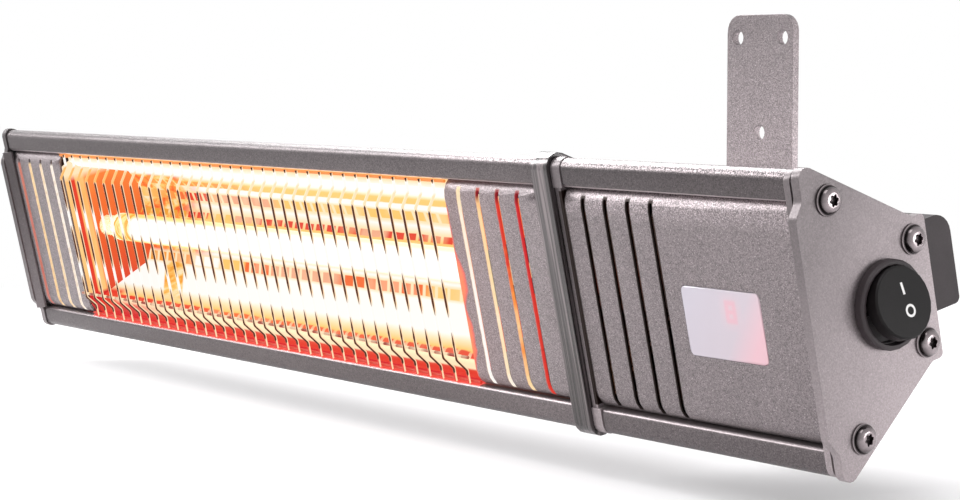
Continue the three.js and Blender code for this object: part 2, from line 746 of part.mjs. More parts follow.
// Ceramic cap: a neck inside the tube's end, a shoulder and a stem through the reflector's end.
function lampCap(side) {
  const inside = LAMP_R - LAMP_WALL - GAP;
  const end = (lampSpan[1] - lampSpan[0]) / 2;
  const back = (windowSpan[1] - windowSpan[0]) / 2 + CAP_BEHIND;
  const body = turned([
    [0, end - CAP_NECK], [CAP_NECK_R, end - CAP_NECK], [inside, end - CAP_NECK + CAP_NECK_TAPER],
    [inside, end + GAP], [LAMP_R, end + GAP], [LAMP_R, end + CAP_SHOULDER],
    [CAP_R, end + CAP_SHOULDER + CAP_SHOULDER_TAPER], [CAP_R, back], [0, back],
  ], 16);
  const facing = side > 0 ? body : body.rotate([0, 0, 180]);
  return facing.translate([(lampSpan[0] + lampSpan[1]) / 2, LAMP_DEPTH, 0]);
}

// Twisted strip that carries the current from cap to cap.
function lampFilament() {
  const x0 = lampSpan[0] + CAP_NECK + GAP;
  const x1 = lampSpan[1] - CAP_NECK - GAP;
  const turns = Math.round((x1 - x0) / FILAMENT_TWIST_LENGTH);
  const steps = turns * 6;
  const [w, t] = [FILAMENT_W / 2, FILAMENT_T / 2];
  const section = new THREE.Shape([
    new THREE.Vector2(-w, -t), new THREE.Vector2(w, -t),
    new THREE.Vector2(w, t), new THREE.Vector2(-w, t),
  ]);
  const geometry = new THREE.ExtrudeGeometry(section, { depth: x1 - x0, steps, bevelEnabled: false });
  const position = geometry.attributes.position;
  const point = new THREE.Vector3();
  for (let i = 0; i < position.count; i += 1) {
    point.fromBufferAttribute(position, i);
    point.applyAxisAngle(Z, (2 * Math.PI * turns * point.z) / (x1 - x0));
    position.setXYZ(i, point.x, point.y, point.z);
  }
  geometry.applyMatrix4(new THREE.Matrix4().makeBasis(Y, Z, X));
  geometry.translate(x0, LAMP_DEPTH, 0);
  return solid(geometry);
}

// Angle bracket that holds a cap off the back wall of the profile.
function lampHolder(side) {
  const x = side > 0 ? windowSpan[1] + HOLDER_BACK : windowSpan[0] - HOLDER_BACK;
  const back = railStep - GAP;
  const wide = centred(0, 2 * HOLDER_HALF);
  const web = block(ordered(x, x + side * HOLDER_T), [LAMP_DEPTH - HOLDER_HALF, back], wide);
  const foot = block(ordered(x, x + side * HOLDER_FOOT), [back - HOLDER_T, back], wide);
  return web.add(foot).subtract(boreX(CAP_R + GAP, centred(x, 4 * HOLDER_T), LAMP_DEPTH, 0, 16));
}

// ---------------------------------------------------------------- control electronics
function displayModule() {
  const front = PANEL_FRONT + PANEL_T + 2 * GAP + LENS_RIM_T;
  return prismY(displayOutline(LENS_RIM - GAP), [front, front + DISPLAY_BOARD_T]);
}

function controlBoard() {
  const middle = (controlSpan[0] + controlSpan[1]) / 2;
  const along = centred(middle, BOARD_LENGTH);
  const board = block(along, [BOARD_DEPTH, BOARD_DEPTH + BOARD_T], centred(0, 2 * BOARD_HALF));
  const back = railStep - GAP;
  const tray = block(along, [back - TRAY_T, back], centred(0, 2 * TRAY_HALF));
  const parts = [board, tray];
  for (const sx of [-1, 1]) {
    for (const sz of [-1, 1]) {
      const x = middle + sx * (BOARD_LENGTH / 2 - 2 * POST_R);
      const z = sz * (TRAY_HALF - 2 * POST_R);
      parts.push(barY(POST_R, [BOARD_DEPTH + BOARD_T / 2, back - TRAY_T / 2], x, z, 8));
    }
  }
  const inBoard = BOARD_DEPTH + BOARD_T / 2;
  for (const box of [RELAY, DRIVER]) {
    parts.push(block(centred(middle + box.at, box.length), [BOARD_DEPTH - box.height, inBoard], box.span));
  }
  const can = [BOARD_DEPTH - CAPACITOR.height, inBoard];
  parts.push(barY(CAPACITOR.radius, can, middle + CAPACITOR.at, CAPACITOR.up, 10));
  return join(parts);
}

// ---------------------------------------------------------------- rocker switch
function switchBase() {
  const floor = -SWITCH_WELL_DEPTH;
  const body = turned([
    [0, -SWITCH_NECK_LENGTH], [SWITCH_NECK_R, -SWITCH_NECK_LENGTH], [SWITCH_NECK_R, GAP],
    [SWITCH_R, GAP], [SWITCH_R, SWITCH_RIM_H - 1], [SWITCH_RIM_R, SWITCH_RIM_H],
    [SWITCH_POCKET_R, SWITCH_RIM_H], [SWITCH_POCKET_R, 2 * GAP], [SWITCH_WELL_R, 2 * GAP],
    [SWITCH_WELL_R, floor], [0, floor],
  ], 24);
  const pins = pinAcross(flats(ROCKER_PIN_R + RUN_GAP, 10), pinReach + GAP, ROCKER_PIVOT);
  return body.subtract(pins).translate([0, SWITCH_DEPTH, 0]);
}

const pinReach = SWITCH_POCKET_R + ROCKER_PIN_SEAT;
const pinAcross = (radius, half, x) => barY(radius, [-half, half], x, 0, 10);

// Round rocker about its pivot: tapered foot, straight side, eased edge and flat face.
function switchRocker() {
  const body = turned([
    [0, -ROCKER_FOOT], [ROCKER_FOOT_R, -ROCKER_FOOT], [ROCKER_R, ROCKER_SIDE],
    [ROCKER_R, ROCKER_RISE - ROCKER_EDGE], [ROCKER_R - ROCKER_EDGE, ROCKER_RISE], [0, ROCKER_RISE],
  ], 24);
  return body.add(pinAcross(ROCKER_PIN_R, pinReach, 0));
}

function placedRocker() {
  const mesh = piece('switch_rocker', switchRocker(), blackPlastic);
  mesh.position.set(ROCKER_PIVOT, SWITCH_DEPTH, 0);
  mesh.rotation.y = -THREE.MathUtils.degToRad(ROCKER_TILT);
  return mesh;
}

// ---------------------------------------------------------------- box on the back
const boxFront = bodyFace + GAP;
const boxSpan = [-BOX_FROM_END - BOX_LENGTH, -BOX_FROM_END];
const boxScrewX = [boxSpan[0] + BOX_SCREW_FROM_SIDE, boxSpan[1] - BOX_SCREW_FROM_SIDE];
const boxMiddle = (BOX_TOP + BOX_BOTTOM) / 2;

function boxOutline(inset) {
  return rounded([
    [boxFront - 2 * Math.sign(inset), BOX_BOTTOM + inset],
    [BOX_BACK - inset, BOX_BOTTOM + inset, BOX_ROUND_BOTTOM - inset / 2],
    [BOX_BACK - inset, BOX_TOP - inset, BOX_ROUND_TOP - inset],
    [boxFront - 2 * Math.sign(inset), BOX_TOP - inset],
  ], 15);
}

function rearBox() {
  const inside = [boxSpan[0] + BOX_WALL, boxSpan[1] - BOX_WALL];
  const shell = prismX(boxOutline(0), boxSpan).subtract(prismX(boxOutline(BOX_WALL), inside));
  const bosses = boxScrewX.map((x) => barY(BOX_BOSS_R, [boxFront, BOX_BACK - 1], x, boxMiddle, 12));
  const bores = boxScrewX.flatMap((x) => [
    boreY(BOX_SCREW_R + GAP, past([boxFront, BOX_BACK]), x, boxMiddle, 10),
    boreY(BOX_SCREW_HEAD_R + GAP, [BOX_BACK - BOX_SCREW_SINK, BOX_BACK + OVERSHOOT], x, boxMiddle, 12),
  ]);
  const glandHole = boreX(GLAND_NECK_R + GAP, past([boxSpan[0], inside[0]]), glandDepth, boxMiddle, 16);
  return cut(join([shell, ...bosses]), [...bores, glandHole]);
}

const glandDepth = (boxFront + BOX_BACK) / 2;

function boxScrew(x) {
  const seat = BOX_BACK - BOX_SCREW_SINK + GAP;
  const shaft = barY(BOX_SCREW_R, [boxFront + 0.5, seat + 0.2], x, boxMiddle, 10);
  const head = barY(BOX_SCREW_HEAD_R, [seat, seat + BOX_SCREW_HEAD_T], x, boxMiddle, 12);
  return shaft.add(head);
}

// Cord inlet: a hexagon, a domed clamp nut and a threaded neck, bored right through.
function cableGland() {
  const out = boxSpan[0] - GAP;
  const tip = out - GLAND_LENGTH;
  const inner = boxSpan[0] + BOX_WALL + GLAND_NECK_PAST;
  const hex = barX(flats(GLAND_R, 6), [out - GLAND_HEX_T, out], 0, 0, 6);
  const dome = turned([
    [0, tip], [GLAND_R - 3, tip], [GLAND_R - 1.2, tip + 3], [GLAND_R - 0.6, out - GLAND_HEX_T + 1],
    [0, out - GLAND_HEX_T + 1],
  ], 16);
  const neck = barX(GLAND_NECK_R, [out - 1, inner], 0, 0, 16);
  const bore = boreX(GLAND_BORE_R, past([tip, inner]), 0, 0, 12);
  return join([hex, dome, neck]).subtract(bore).translate([0, glandDepth, boxMiddle]);
}

// ---------------------------------------------------------------- wall bracket and pivot
// The bracket's solids have their middle at x = 0, the plate's back on y = 0.
function bracketPlate() {
  const [w, h] = [BRACKET_W / 2, BRACKET_H / 2];
  const outline = rounded([
    [-w, -h], [w, -h], [w, h, BRACKET_CORNER], [-w, h, BRACKET_CORNER],
  ], 15);
  return prismY(outline, [-BRACKET_T, 0]);
}

// U section of a folded strap, open to the front (-y) or, for the saddle, to the back.
function strap(width, thick, bend, near, far, zSpan) {
  const w = width / 2;
  const out = Math.sign(far - near);
  const outline = rounded([
    [-w, far], [-w, near, bend], [w, near, bend], [w, far], [w - thick, far],
    [w - thick, near + out * thick, bend - thick], [-w + thick, near + out * thick, bend - thick],
    [-w + thick, far],
  ], 30);
  return prismZ(outline, zSpan);
}

function wallBracket() {
  const ear = rounded([
    [0, -BRACKET_H / 2], [0, -EAR_TOP], [-2 * BRACKET_T, -EAR_TOP, EAR_CORNER],
    [-PIVOT_REACH - EAR_R, -PIVOT_DROP + EAR_R, EAR_R],
    [-PIVOT_REACH - EAR_R, -PIVOT_DROP - EAR_R, EAR_R],
    [-2 * BRACKET_T, -BRACKET_H / 2, EAR_CORNER],
  ], 20);
  const side = prismX(ear, centred(0, BRACKET_W + 2));
  const reach = -PIVOT_REACH - EAR_R - 1;
  const folded = strap(BRACKET_W, BRACKET_T, BRACKET_BEND, 0, reach, [-BRACKET_H / 2, -EAR_TOP]);
  const upper = bracketPlate().subtract(
    block(centred(0, BRACKET_W + 2), [-BRACKET_T - 1, 1], [-BRACKET_H / 2 - 1, -EAR_TOP - 4]));
  const holes = [
    [BRACKET_HOLE_SPAN / 2, BRACKET_H / 2 - BRACKET_HOLE_DROP],
    [-BRACKET_HOLE_SPAN / 2, BRACKET_H / 2 - BRACKET_HOLE_DROP],
    [0, BRACKET_H / 2 - BRACKET_LOW_DROP],
  ].map(([x, z]) => boreY(BRACKET_HOLE_R, past([-BRACKET_T, 0]), x, z, 16));
  const pivot = boreX(PIVOT_R + GAP, centred(0, BRACKET_W + 4), -PIVOT_REACH, -PIVOT_DROP, 16);
  return cut(folded.intersect(side).add(upper), [...holes, pivot]);
}

const earInner = BRACKET_W / 2 - BRACKET_T;
const saddleHalf = earInner - SPACER_T - 2 * GAP;

// Turned or hexagonal ring on the pivot's axis.
function pivotRing(radius, hole, span, sides) {
  const ring = barX(radius, span, 0, 0, sides);
  return ring.subtract(boreX(hole, past(span), 0, 0, 16));
}

function pivotPieces() {
  const hole = PIVOT_R + GAP;
  const outer = BRACKET_W / 2 + GAP;
  const washer = [outer, outer + WASHER_T];
  const seat = washer[1] + GAP;
  const spacer = [saddleHalf + GAP, saddleHalf + GAP + SPACER_T];
  const flip = ([a, b]) => [-b, -a];
  const head = barX(flats(HEX_R - 1, 6), [seat, seat + HEX_T], 0, 0, 6);
  const shank = barX(PIVOT_R, [-seat - NUT_T - BOLT_END, seat + 0.5], 0, 0, 16);
  return [
    piece('pivot_bolt', head.add(shank), steel),
    piece('pivot_nut', pivotRing(flats(HEX_R - 1, 6), hole, flip([seat, seat + NUT_T]), 6), steel),
    piece('pivot_washer_right', pivotRing(WASHER_R, hole, washer, 16), steel),
    piece('pivot_washer_left', pivotRing(WASHER_R, hole, flip(washer), 16), steel),
    piece('pivot_spacer_right', pivotRing(SPACER_R, hole, spacer, 16), nylon),
    piece('pivot_spacer_left', pivotRing(SPACER_R, hole, flip(spacer), 16), nylon),
  ];
}

// Saddle on the heater's back rails, in body coordinates with its middle at x = 0.
function bodyBracket() {
  const near = bodyFace + GAP;
  const far = PIVOT_DEPTH + SADDLE_EAR_R + 1;
  const folded = strap(2 * saddleHalf, SADDLE_T, SADDLE_BEND, near, far, centred(0, 2 * SADDLE_HALF));
  const side = prismX(rounded([
    [near, -SADDLE_HALF], [near + 2 * SADDLE_T, -SADDLE_HALF, SADDLE_CORNER],
    [PIVOT_DEPTH + SADDLE_EAR_R, -SADDLE_EAR_R, SADDLE_EAR_R],
    [PIVOT_DEPTH + SADDLE_EAR_R, SADDLE_EAR_R, SADDLE_EAR_R],
    [near + 2 * SADDLE_T, SADDLE_HALF, SADDLE_CORNER], [near, SADDLE_HALF],
  ], 20), centred(0, 2 * saddleHalf + 2));
  const tools = [1, -1].map((s) => boreY(CLAMP_R + GAP, past([near, near + SADDLE_T]), 0, s * RAIL_HALF));
  tools.push(boreX(PIVOT_R + RUN_GAP, centred(0, 2 * saddleHalf + 4), PIVOT_DEPTH, 0, 16));
  return cut(folded.intersect(side), tools);
}

function clampPieces() {
  const seat = bodyFace + GAP + SADDLE_T + GAP;
  const pocket = bodyFace - RAIL_LIP - GAP;
  const tip = pocket - RAIL_DEPTH + 2 * GAP;
  const half = RAIL_POCKET / 2 - GAP;
  const meshes = [];
  for (const [name, z] of [['upper', RAIL_HALF], ['lower', -RAIL_HALF]]) {
    const head = barY(flats(CLAMP_HEAD_R, 6), [seat, seat + CLAMP_HEAD_T], 0, z, 6);
    const shank = barY(CLAMP_R, [tip, seat + 0.5], 0, z, 16);
    meshes.push(piece(`clamp_screw_${name}`, head.add(shank), steel));
    const nut = block([-half, half], [pocket - SLOT_NUT_T, pocket], centred(z, 2 * half));
    const hole = boreY(CLAMP_R + GAP, [tip - 5, pocket + 1], 0, z, 16);
    meshes.push(piece(`slot_nut_${name}`, nut.subtract(hole), steel));
  }
  return meshes;
}

// ---------------------------------------------------------------- assembly
function bodyMeshes() {
  return [
    piece('heater_housing', housing(heaterSpan), silver),
    piece('control_housing', housing(controlSpan), silver),
    piece('left_end_cap', leftEndCap(), silverPlain),
    piece('left_gasket', gasket(leftGasket), rubber),
    piece('right_end_plate', switchEndPlate(), silverPlain),
    piece('right_gasket', gasket(rightGasket), rubber),
    piece('right_end_frame', frame(endFrame, 0.3), silverPlain),
    piece('collar_flange', joinFrame(flangeSpan, 0.2), silverPlain),
    piece('collar', joinFrame(collarSpan, -COLLAR_PROUD), darkTrim),
    piece('collar_ring', collarRing(), silverPlain),
    piece('left_panel', leftPanel(), silver),
    piece('right_panel', rightPanel(), silver),
    piece('control_panel', controlPanel(), silver),
    piece('display_lens', displayLens(), lensWhite),
    piece('display_module', displayModule(), blackPlastic),
    piece('control_board', controlBoard(), circuit),
    piece('wire_guard', wireGuard(), wire),
    piece('reflector', reflector(), mirrorSheet),
    piece('reflector_end_left', reflectorEnd(windowSpan[0] - SHEET_T), mirrorSheet),
    piece('reflector_end_right', reflectorEnd(windowSpan[1]), mirrorSheet),
    piece('lamp_tube', lampTube(), lampGlass),
    piece('lamp_filament', lampFilament(), glow),
    piece('lamp_cap_left', lampCap(-1), ceramic),
    piece('lamp_cap_right', lampCap(1), ceramic),
    piece('lamp_holder_left', lampHolder(-1), steel),
    piece('lamp_holder_right', lampHolder(1), steel),
    piece('switch_base', switchBase(), blackPlastic),
    piece('rear_box', rearBox(), blackPlastic),
    piece('rear_box_screw_1', boxScrew(boxScrewX[0]), steel),
    piece('rear_box_screw_2', boxScrew(boxScrewX[1]), steel),
    piece('cable_gland', cableGland(), blackPlastic),
    ...endScrews(),
  ];
}

function heater() {
  const body = new THREE.Group();
  body.add(...bodyMeshes(), placedRocker());
  const saddle = new THREE.Group();
  saddle.add(piece('body_bracket', bodyBracket(), silver), ...clampPieces());
  saddle.position.x = -BRACKET_FROM_END;
  body.add(saddle);
  body.position.set(BRACKET_FROM_END, -PIVOT_DEPTH, 0);
  const tilting = new THREE.Group();
  tilting.add(body);
  tilting.rotation.x = THREE.MathUtils.degToRad(REST_TILT);
  tilting.position.set(0, -PIVOT_REACH, -PIVOT_DROP);
  return tilting;
}

function assembly() {
  const group = new THREE.Group();
  const pivot = new THREE.Group();
  pivot.add(...pivotPieces());
  pivot.position.set(0, -PIVOT_REACH, -PIVOT_DROP);
  group.add(piece('wall_bracket', wallBracket(), silver), pivot, heater());
  return group;
}

export default assembly();
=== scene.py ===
"""Looks of a wall-mounted infrared bar heater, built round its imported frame.

Metres, +Z up. Pieces are drawn in the heater's own coordinates and moved into the row frame:
x along the heater from the outer face of the switch-end plate (negative to the left),
d the depth to the back from the line of the front screws, h the height above the middle.
"""

import json
import math

import bmesh
import bpy
from mathutils import Euler, Matrix, Vector

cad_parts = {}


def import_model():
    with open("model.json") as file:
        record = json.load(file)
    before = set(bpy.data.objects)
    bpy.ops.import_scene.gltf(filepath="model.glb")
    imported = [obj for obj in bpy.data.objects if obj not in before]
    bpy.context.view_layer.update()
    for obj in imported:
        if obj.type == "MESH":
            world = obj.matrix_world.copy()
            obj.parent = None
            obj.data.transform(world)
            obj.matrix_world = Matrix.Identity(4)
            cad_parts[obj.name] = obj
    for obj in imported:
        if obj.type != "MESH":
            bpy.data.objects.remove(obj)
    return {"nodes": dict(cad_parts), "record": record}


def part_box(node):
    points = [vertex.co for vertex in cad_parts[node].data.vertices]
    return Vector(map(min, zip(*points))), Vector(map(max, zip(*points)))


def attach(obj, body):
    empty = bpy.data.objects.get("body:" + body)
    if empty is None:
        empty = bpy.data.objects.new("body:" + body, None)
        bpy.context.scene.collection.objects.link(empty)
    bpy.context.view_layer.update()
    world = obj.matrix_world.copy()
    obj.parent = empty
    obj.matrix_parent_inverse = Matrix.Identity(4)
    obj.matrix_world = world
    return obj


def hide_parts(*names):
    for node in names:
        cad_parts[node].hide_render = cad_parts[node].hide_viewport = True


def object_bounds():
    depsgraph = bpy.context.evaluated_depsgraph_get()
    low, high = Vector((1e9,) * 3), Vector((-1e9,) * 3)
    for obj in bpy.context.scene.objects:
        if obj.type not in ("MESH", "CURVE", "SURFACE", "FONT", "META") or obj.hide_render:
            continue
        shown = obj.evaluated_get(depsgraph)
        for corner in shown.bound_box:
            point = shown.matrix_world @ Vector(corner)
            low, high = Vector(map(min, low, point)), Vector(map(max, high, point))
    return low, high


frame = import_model()
CAD_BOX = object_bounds()

MM = 0.001

# ---------------------------------------------------------------- where the heater is
TILT_JOINT = next(j for j in frame["record"]["behaviour"]["joints"] if j["name"] == "heater_tilt")
REST_TILT = -math.radians(TILT_JOINT["range_deg"][0])  # the joint's low limit is level
PIVOT = Vector(TILT_JOINT["pos_m"])
PIVOT_DEPTH = 82 * MM
PLATE_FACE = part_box("right_end_plate")[1].x

BODY = (
    Matrix.Translation((PLATE_FACE, PIVOT.y, PIVOT.z))
    @ Matrix.Rotation(REST_TILT, 4, "X")
    @ Matrix.Translation((0, -PIVOT_DEPTH, 0))
)


# ---------------------------------------------------------------- node helpers
class Shader:
    """One material's node tree, with short calls for the nodes that the finishes use."""

    def __init__(self, name, **surface):
        self.material = bpy.data.materials.new(name)
        self.material.use_nodes = True
        self.tree = self.material.node_tree
        self.tree.nodes.clear()
        self.output = self.add("ShaderNodeOutputMaterial")
        self.surface = self.add("ShaderNodeBsdfPrincipled")
        self.link(self.surface.outputs[0], self.output.inputs["Surface"])
        self.set(self.surface, **surface)

    def add(self, kind, **settings):
        node = self.tree.nodes.new(kind)
        for key, value in settings.items():
            setattr(node, key, value)
        return node

    def link(self, source, target):
        self.tree.links.new(source, target)

    def set(self, node, **values):
        """A node's inputs by name: numbers, colours or links."""
        for key, value in values.items():
            socket = node.inputs[key.replace("_", " ")]
            if isinstance(value, bpy.types.NodeSocket):
                self.link(value, socket)
            elif isinstance(value, tuple) and len(value) == 3 and socket.type == "RGBA":
                socket.default_value = (*value, 1)
            else:
                socket.default_value = value

    def place(self):
        """Object coordinates, which are the row frame at rest."""
        return self.add("ShaderNodeTexCoord").outputs["Object"]

    def body_place(self):
        """The heater's own coordinates (x, d, h)."""
        node = self.add("ShaderNodeMapping", vector_type="TEXTURE")
        node.inputs["Location"].default_value = BODY.to_translation()
        node.inputs["Rotation"].default_value = BODY.to_euler()
        self.link(self.place(), node.inputs["Vector"])
        return node.outputs[0]

    def axes(self, vector):
        node = self.add("ShaderNodeSeparateXYZ")
        self.link(vector, node.inputs[0])
        return node.outputs[0], node.outputs[1], node.outputs[2]

    def stretched(self, vector, scale):
        """A place with its own scale along each axis."""
        node = self.add("ShaderNodeVectorMath", operation="MULTIPLY")
        self.link(vector, node.inputs[0])
        node.inputs[1].default_value = scale
        return node.outputs[0]

    def scaled(self, tone, factor):
        """A colour times a number, also above 1."""
        node = self.add("ShaderNodeVectorMath", operation="SCALE")
        self.link(tone, node.inputs[0])
        self.set(node, Scale=factor)
        return node.outputs[0]

    def noise(self, vector, scale, detail=2.0, roughness=0.5):
        node = self.add("ShaderNodeTexNoise")
        self.set(node, Scale=scale, Detail=detail, Roughness=roughness)
        self.link(vector, node.inputs["Vector"])
        return node.outputs["Fac"]

    def cells(self, vector, scale):
        """A random value for each small cell."""
        node = self.add("ShaderNodeTexVoronoi", feature="F1")
        self.set(node, Scale=scale)
        self.link(vector, node.inputs["Vector"])
        channels = self.add("ShaderNodeSeparateColor")
        self.link(node.outputs["Color"], channels.inputs[0])
        return channels.outputs[0]

    def ramp(self, value, stops):
        """Colour along a value; stops are (place, colour)."""
        node = self.add("ShaderNodeValToRGB")
        elements = node.color_ramp.elements
        while len(elements) < len(stops):
            elements.new(0.5)
        for element, (place, colour) in zip(elements, stops):
            element.position = place
            element.color = (*colour, 1)
        self.link(value, node.inputs["Fac"])
        return node.outputs["Color"]

    def grey(self, value, stops):
        """Ramp of greys; stops are (place, grey)."""
        return self.ramp(value, [(place, (v, v, v)) for place, v in stops])

    def span(self, value, low, high, to_low=0.0, to_high=1.0, smooth=False):
        """A value between low and high, brought to the range from to_low to to_high."""
        node = self.add("ShaderNodeMapRange")
        node.interpolation_type = "SMOOTHSTEP" if smooth else "LINEAR"
        for key, number in zip(("From Min", "From Max", "To Min", "To Max"), (low, high, to_low, to_high)):
            node.inputs[key].default_value = number
        self.link(value, node.inputs["Value"])
        return node.outputs["Result"]

    def math(self, operation, a, b=None):
        """A sum or other operation on numbers or links."""
        node = self.add("ShaderNodeMath", operation=operation)
        for socket, value in zip(node.inputs, (a, b)):
            if isinstance(value, bpy.types.NodeSocket):
                self.link(value, socket)
            elif value is not None:
                socket.default_value = value
        return node.outputs[0]

    def plus(self, a, b):
        return self.math("ADD", a, b)

    def minus(self, a, b):
        return self.math("SUBTRACT", a, b)

    def times(self, a, b):
        return self.math("MULTIPLY", a, b)

    def absolute(self, a):
        return self.math("ABSOLUTE", a)

    def above(self, a, b):
        return self.math("GREATER_THAN", a, b)

    def below(self, a, b):
        return self.math("LESS_THAN", a, b)

    def mix(self, factor, a, b, blend="MIX"):
        """Colour a where factor is 0 and colour b where it is 1."""
        node = self.add("ShaderNodeMix", data_type="RGBA", blend_type=blend)
        for socket, value in zip((node.inputs[0], node.inputs[6], node.inputs[7]), (factor, a, b)):
            if isinstance(value, bpy.types.NodeSocket):
                self.link(value, socket)
            elif isinstance(value, tuple):
                socket.default_value = (*value, 1)
            else:
                socket.default_value = value
        return node.outputs[2]

    def band(self, value, low, high, soft, top=1.0):
        """The value top between low and high, fading to 0 over soft on either side."""
        rising = self.span(value, low - soft, low)
        return self.times(rising, self.span(value, high, high + soft, top, 0))

    def fade(self, place, low, high, to_low=0.0, to_high=1.0):
        """span() of a place in metres, with its ends in millimetres."""
        return self.span(place, low * MM, high * MM, to_low, to_high)

    def zone(self, place, low, high, soft, top=1.0):
        """band() of a place in metres, with its ends and fades in millimetres."""
        return self.band(place, low * MM, high * MM, soft * MM, top)

    def all_of(self, *masks):
        """Product of several masks."""
        product = masks[0]
        for mask in masks[1:]:
            product = self.times(product, mask)
        return product

    def any_of(self, *masks):
        """Largest of several masks."""
        largest = masks[0]
        for mask in masks[1:]:
            largest = self.math("MAXIMUM", largest, mask)
        return largest

    def side(self):
        """How far the surface faces along the heater, either way."""
        normal = self.axes(self.add("ShaderNodeTexCoord").outputs["Normal"])
        return self.absolute(normal[0])

    def turns(self, place, first, pitch):
        """How far a place is through its pitch, from 0 to 1; first and pitch are in millimetres."""
        return self.math("FRACT", self.math("DIVIDE", self.minus(place, first * MM), pitch * MM))

    def look(self, **values):
        """Values of the surface shader."""
        self.set(self.surface, **values)

    def bump(self, height, strength, distance):
        node = self.add("ShaderNodeBump")
        self.set(node, Strength=strength, Distance=distance, Height=height)
        self.link(node.outputs[0], self.surface.inputs["Normal"])


# ---------------------------------------------------------------- sizes, in millimetres
# The window and the left end come from the frame; the others are the solids' own sizes.
WINDOW = tuple((v.x - PLATE_FACE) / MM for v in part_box("reflector"))
LEFT_END = (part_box("left_end_cap")[0].x - PLATE_FACE) / MM
JOINT = (-180, -160)     # along the heater, where its two sections meet
LIP_HALF = 51.8          # inner faces of the lips
SLOT_PITCH = 15.1
SLOT_COUNT = 4           # in each panel
SLOT_LOW = -49.6         # a slot's lower end, and below its upper one
SLOT_HIGH = 48.2
SLOT_SIDE = 3            # a slot's light and shade end this far from its middle
SLOT_TO_WINDOW = 11.3    # from the window's side to the middle of the nearest slot
CONTROL_SLOT = -139.4    # the control panel's first slot, along the heater
CONTROL_EDGE = -151.4    # the control panel's edge at the joint
RING_GROOVE = (-154.6, -150.4)   # painted shade of the gap beside the control panel, along the heater
WIRE_PITCH = 11.1
WIRE_MARGIN = 8.0
WIRE_R = 0.75
WIRE_BEND = 2.5          # radius of a wire's bends
ROD_R = 0.8
ROD_GAP = 0.3            # from a rod's end to the window's side
GUARD_FRONT = -17.15     # middle of a wire
GUARD_BACK = -12.15
GUARD_BEND_OUT = 38.0
GUARD_BEND_IN = 44.6
GUARD_END = 51.4
SCREW_FRONT_HALF = 50.05     # the end plates' front screws, above and below the middle
SCREW_BACK = (44.1, 22.1)    # depth and height of their back screws
SCREW_RISE = 4.2         # over which a screw head's painted light and shade run
SWITCH_DEPTH = 24.2      # middle of the switch
ROCKER_PIVOT = 2.7       # out from the end plate's face
ROCKER_RISE = 7.9        # from the pivot to the rocker's face
ROCKER_TILT = math.radians(13)   # of that face when the switch is on


# ---------------------------------------------------------------- finishes
PINK_GREY = Vector((1.0, 0.865, 0.895))
BLACK = (0.0, 0.0, 0.0)
NEARLY_BLACK = (0.012, 0.004, 0.002)
# the lamp's light, from hot to cool
WHITE_HOT = (1.0, 0.97, 0.93)
CREAM = (1.0, 0.80, 0.52)
PALE_ORANGE = (1.0, 0.70, 0.36)
YELLOW = (1.0, 0.58, 0.16)
OCHRE = (0.80, 0.36, 0.05)
ORANGE = (0.98, 0.31, 0.07)
DEEP_ORANGE = (0.85, 0.135, 0.033)
SALMON = (0.85, 0.42, 0.26)
RED = (0.74, 0.045, 0.028)
CRIMSON = (0.62, 0.022, 0.028)
EMBER = (0.45, 0.03, 0.02)
DARK_RED = (0.25, 0.008, 0.015)


def grey(value):
    """The photographed metal's slightly warm grey."""
    return tuple(PINK_GREY * value)


def coat(s, dark, light, grain, flake_share=0.03, flake=1.3):
    """Fine grain of a metallic coat: every small cell has its own grey, and a few are bright flakes."""
    place = s.place()
    cells = s.cells(place, grain)
    fine = s.noise(place, 0.6 * grain, 2, 0.6)
    base = s.ramp(cells, [(0.0, grey(dark)), (1.0, grey(light))])
    flakes = s.cells(s.stretched(place, (1.1, 1.3, 1.2)), grain)
    bright = s.grey(flakes, [(1 - flake_share, 0.0), (1 - 0.4 * flake_share, 1.0)])
    tone = s.mix(bright, base, grey(min(1.0, flake * light)))
    drift = s.grey(s.noise(place, 40, 3), [(0.3, 0.96), (0.7, 1.03)])
    return s.mix(1.0, tone, drift, "MULTIPLY"), fine, cells


def speckled_highlight(s, tone, share, calm, low, high, darkest, brightest):
    """A tone with a painted highlight of lit specks where share is 1, and times calm where it is 0."""
    specks = s.span(s.noise(s.place(), 1500, 2), low, high, darkest, brightest)
    return s.scaled(tone, s.plus(calm, s.times(share, s.minus(specks, calm))))


def powder_silver(name="powder_silver", own=None):
    """Fine-grained powder coat of panels and bracket; own changes its tone where a piece needs it."""
    s = Shader(name, Metallic=0.6, IOR=1.5)
    tone, fine, cells = coat(s, 0.135, 0.305, 2300, 0.04, 1.4)
    s.look(Base_Color=own(s, tone) if own else tone)
    s.look(Roughness=s.span(fine, 0.3, 0.7, 0.38, 0.52))
    s.bump(s.plus(fine, s.times(cells, 0.7)), 0.5, 0.12 * MM)
    return s.material


def strap_painted_light(s, tone):
    """Painted light on the bracket's strap: lighter towards the bottom, where the heater's roof below it
    throws light back, and lighter on its side faces.
    """
    x, y, z = s.axes(s.place())
    front = s.fade(z, 65, 0, 0.78, 1.55)
    return s.scaled(tone, s.plus(front, s.span(s.side(), 0.5, 0.8, 0, 0.75)))


def off_slot(s, along, first):
    """Distance in millimetres from the middle of the nearest slot, where first is the first slot's place."""
    return s.times(s.absolute(s.minus(s.turns(along, first - SLOT_PITCH / 2, SLOT_PITCH), 0.5)), SLOT_PITCH)


